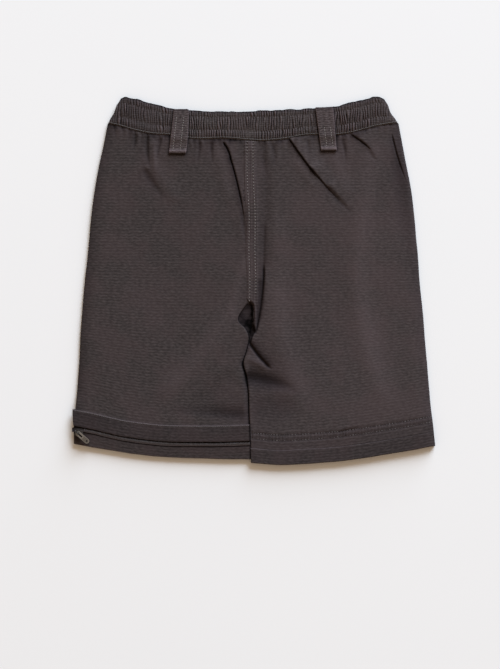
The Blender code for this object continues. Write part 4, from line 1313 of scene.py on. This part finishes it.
def belt_loop(loop):
    """A belt loop over the waistband, tacked at its folded foot, with raised edges along its two stitch rows.
    Gives the lines of its stitches."""
    down = shares_with(44, 1, [0.003, 0.01, 0.99, 0.997])[:, None]
    left, right = loop_sides(loop, down)
    right = right + 4 * loop.bow * down * (1 - down)
    height = loop.top_up - loop.foot_up
    x = left + (right - left) * shares_with(16, 1, [0.01, 0.03, 0.97, 0.99])
    to_side = np.minimum(x - left, right - x)
    shoulder = 1 - rounded(to_side + 0.1, LOOP_SHOULDER)
    y = loop.top_up - height * down - 0.9 * shoulder * gone(down, 0, 0.06)
    highest = [
        (at, under_loop(*loop_sides(loop, at), loop.top_up - height * at)) for at in np.linspace(0, 1, 10)
    ]
    inner = curve_through(highest)(down) + LAYER_GAP + 0 * x
    fold = 1 - LOOP_FOOT_FOLD / height
    foot = fading(down, fold - 0.02, fold)
    turn = rounded(np.minimum(to_side, np.minimum(down, 1 - down) * height) + 0.05, 0.8)
    rows = sum(bell(x - left - at, 0.9) for at in (loop.left_row, loop.right_row))
    thickness = LOOP_THICKNESS + (LOOP_FOOT_THICKNESS - LOOP_THICKNESS) * foot
    outer = inner + thickness * (0.45 + 0.55 * turn) - 0.22 * rows * (1 - foot) + 0.1 * ripple(x, y, 8, 95)
    fold_line = bell((down - fold) * height - 0.5, 0.6)
    # Painted highlight along its folded foot and its sides, and painted shade at its top where it turns over
    # the waistband.
    light = 0.06 * foot + 0.26 * fold_line + 0.22 * gone(to_side, 0.2, 0.9)
    shade = 0.4 * gone(down, 0, 0.07)
    piece = shell(loop.name + "_sewn", x, y, outer, inner + 0.2 * (1 - turn), FINISHES["loop"], shade, light)
    dress(piece, "waistband", loop.name, flat=(0.016, 0.046), held="folded")
    sewn = (y[:, 0] < loop.sewn_from) & (y[:, 0] > loop.sewn_to)
    lines = []
    for inset in (loop.left_row, loop.right_row):
        at = x[:, 0] + inset
        z = np.array([np.interp(a, x[i], outer[i]) for i, a in enumerate(at)]) + 0.05
        lines.append(list(zip(at[sewn], y[sewn, 0], z[sewn])))
    return lines


def build_cloth():
    """All the cloth pieces but the belt loops."""
    flap_end_line, right_end = moved(flap_top, -FLAP_LAP), moved(right_hem, HEM_BAND_WIDTH)
    end = moved(centre, -SEAM_GAP)
    band_left = fixed(LOWER_BAND_LEFT)
    flap_bottom = moved(flap_top, -FLAP_WIDTH)
    back_panel("back_panel_left", -1, flap_end_line, 0, flat=(0.178, 0.312), area=0.0478)
    back_panel("back_panel_right", 1, right_end, RIGHT_PANEL_PAINTED_LIGHT, flat=(0.186, 0.328), area=0.0525)
    front_panel("front_panel_left", -1, flap_top, flat=(0.175, 0.305), area=0.047)
    front_panel("front_panel_right", 1, right_end, flat=(0.183, 0.328), area=0.0525)
    strip(
        "zip_flap_cloth", "zip_flap_left", (0.181, 0.0166), (flap_end, end, flap_top, flap_bottom),
        flap_height, FLAP_THICKNESS, pale=(0.15, 0.03), base=by_flap_end,
    )
    strip(
        "zip_tape_woven", "zip_strip_left", (0.182, 0.0104),
        (strip_end, end, moved(flap_top, -STRIP_START), strip_bottom), strip_height, 0.6,
        "tape", "zip_tape", pale=(0, 0.2), under=flap_bottom, base=by_strip_end, step=0.9,
    )
    strip(
        "lower_band_cloth", "lower_band_left", (0.18, 0.0174),
        (band_left, end, moved(flap_top, -LOWER_BAND_START), lower_edge), lower_band_height, 1.1,
        pale=(0, 0.06), under=strip_bottom, shadow=1.1, base=by_slider, step=0.8,
    )
    hem_edges = (end, right_side, right_end, right_hem)
    strip(
        "hem_band_cloth", "hem_band_right", (0.185, 0.015), hem_edges,
        right_hem_height, HEM_THICKNESS, pale=(0.08, 0.05),
    )
    under_edges = (band_left, end, flap_top, moved(lower_edge, 0.3))
    for name, solid, flat, edges in (
        ("hem_band_under_left", "hem_band_front_left", (0.18, 0.0334), under_edges),
        ("hem_band_under_right", "hem_band_front_right", (0.185, 0.015), hem_edges),
    ):
        strip(name, solid, flat, edges, fixed(FRONT_HEM_TOP), FRONT_HEM_THICKNESS)
    waistband_back()
    waistband_front()


def build_stitches(loop_rows):
    """Every visible row of sewing."""
    twin = []
    for offset, foot in CENTRE_ROWS:
        ups = np.linspace(139, foot, 200)
        twin.append(on_back(centre(ups) + offset, ups))
    sew("centre_back_stitches", twin, TWIN_NEEDLE, "light_thread", 3)
    xs = np.linspace(-144.5, 144, 400)
    ys = waist_seam(xs) + SEAM_ROW_UP
    zs = waist_crest(xs, ys)[0] - 0.05 + 0.25 * ripple(xs, ys, 30, 81)
    sew("waist_seam_stitches", [list(zip(xs, ys, zs))], WAIST_THREAD, "seam_thread", 4, "waistband")
    rows = []
    for share, drop in ELASTIC_ROWS:
        xs = np.linspace(waist_left(share) + 3, waist_right(share) - 3, 400)
        ys = waist_seam(xs) + share * (waist_top(xs) - waist_seam(xs))
        rows.append(list(zip(xs, ys, waist_crest(xs, ys)[0] - drop + 0.1)))
    sew("elastic_stitches", rows, ELASTIC_THREAD, "dark_thread", 5, "waistband")
    rows = []
    for up in HEM_ROWS:
        xs = np.linspace(-0.5, right_side(right_hem(178) + up) - 1, 300)
        rows.append(on_back(xs, right_hem(xs) + up, 0))
    sew("right_hem_stitches", rows, HEM_THREAD, "hem_thread", 6)
    xs = np.linspace(-179.5, -5, 260)
    ys = flap_top(xs) - 1
    sew("flap_stitches", [list(zip(xs, ys, flap_height(xs, ys) + 0.03))], FLAP_THREAD, "hem_thread", 7)
    sew("belt_loop_stitches", loop_rows, SEAM_THREAD, "light_thread", 8, "waistband")
    xs = np.linspace(-168.5, -4, 300)
    ys = flap_top(xs) - 0.5 * (FLAP_WIDTH + STRIP_END)
    coil = list(zip(xs, ys, 0 * xs + ZIP_STRIP_TOP + 0.05))
    sew("zip_coil", [coil], ZIP_COIL, "coil", 9, "zip_tape")


# Lamps aim at the middle of the garment: turned clockwise from the waist's side, and risen over the table.
Lamp = namedtuple("Lamp", "name turn_deg rise_deg distance width height power colour")
LIGHTS = [
    Lamp("window", 24.0, 21.0, 15.0, 10.0, 11.25, 5600.0, (0.75, 0.87, 1.0)),
]
AMBIENT = {"Color": (1.0, 0.76, 0.54, 1.0), "Strength": 0.43}
TABLE_HALF = 3000.0


def build_room():
    """Plain pale table, broad soft daylight from the waist's side and faint warm light from all around."""
    signs = ((-1, -1), (1, -1), (1, 1), (-1, 1))
    corners = [(across * TABLE_HALF, up * TABLE_HALF, 0.0) for across, up in signs]
    new_mesh("table", corners, [(0, 1, 2, 3)], floor_material())
    world = bpy.data.worlds.new("room")
    world.use_nodes = True
    for label, value in AMBIENT.items():
        world.node_tree.nodes["Background"].inputs[label].default_value = value
    bpy.context.scene.world = world
    for lamp in LIGHTS:
        light = bpy.data.lights.new(lamp.name, "AREA")
        light.shape = "RECTANGLE"
        light.size = lamp.width
        light.size_y = lamp.height
        light.energy = lamp.power
        light.color = lamp.colour
        turn, rise = math.radians(lamp.turn_deg), math.radians(lamp.rise_deg)
        direction = Vector((math.sin(turn) * math.cos(rise), math.cos(turn) * math.cos(rise), math.sin(rise)))
        holder = linked(lamp.name, light)
        holder.location = direction * lamp.distance
        holder.rotation_euler = (-direction).to_track_quat("-Z", "Y").to_euler()


def build_camera():
    """The photo's view, straight down, with one pixel to a millimetre."""
    lens_mm = 85.0
    sensor_mm = 36.0
    camera = bpy.data.cameras.new("camera")
    camera.lens = lens_mm
    camera.sensor_width = sensor_mm
    camera.sensor_fit = "AUTO"
    view = linked("camera", camera)
    across = (PHOTO_SIZE[0] / 2 - PHOTO_ORIGIN[0]) * MM
    up = (PHOTO_ORIGIN[1] - PHOTO_SIZE[1] / 2) * MM
    view.location = (across, up, PHOTO_SIZE[1] * MM * lens_mm / sensor_mm + 0.005)
    bpy.context.scene.camera = view


build_camera()
build_room()
bpy.context.scene.view_settings.view_transform = "Standard"
# Node groups: 'edge' paints shade and highlights on the cloth, and 'rim' paints the pull tab's rim highlight
# and groove shade.
GROUPS = {
    "weave": ribbed_weave_group(),
    "drift": colour_drift_group(),
    "edge": painted_shade_and_highlight_group(),
    "ties": crossed_ties_group(),
    "rim": painted_tab_light_group(),
}
FINISHES = {
    "body": cloth_material("ribbed_cotton", BODY_TINT),
    "waist": cloth_material("waistband_cotton", WAIST_TINT, 0.0022, 0.00008),
    "loop": cloth_material("belt_loop_cotton", LOOP_TINT, 0.0023, 0.00013),
    "tape": cloth_material("zip_tape_weave", TAPE_TINT, 0.0012, 0.00006),
    "light_thread": thread_material("light_thread", (0.27, 0.245, 0.232, 1.0)),
    "seam_thread": thread_material("seam_thread", (0.195, 0.184, 0.182, 1.0)),
    "hem_thread": thread_material("hem_thread", (0.152, 0.137, 0.135, 1.0)),
    "dark_thread": thread_material("dark_thread", (0.05, 0.044, 0.043, 1.0)),
    "coil": thread_material("zip_coil_nylon", (0.112, 0.1, 0.106, 1.0)),
}
TREES = {"stitches": stitch_tree(), "gathers": gather_tree()}
build_cloth()
build_stitches([line for loop in BELT_LOOPS for line in belt_loop(loop)])

# The slider and its pull tab keep their solids' shape, with a worn plated finish, painted highlights along
# the tab's rims and painted shade in its groove.
for carried, finish, plating in (
    ("zip_slider", "slider_zinc", SLIDER_PLATING),
    ("zip_pull_tab", "tab_zinc", TAB_PLATING),
):
    carried_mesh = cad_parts[carried].data
    carried_mesh.materials.clear()
    carried_mesh.materials.append(metal_material(finish, plating))
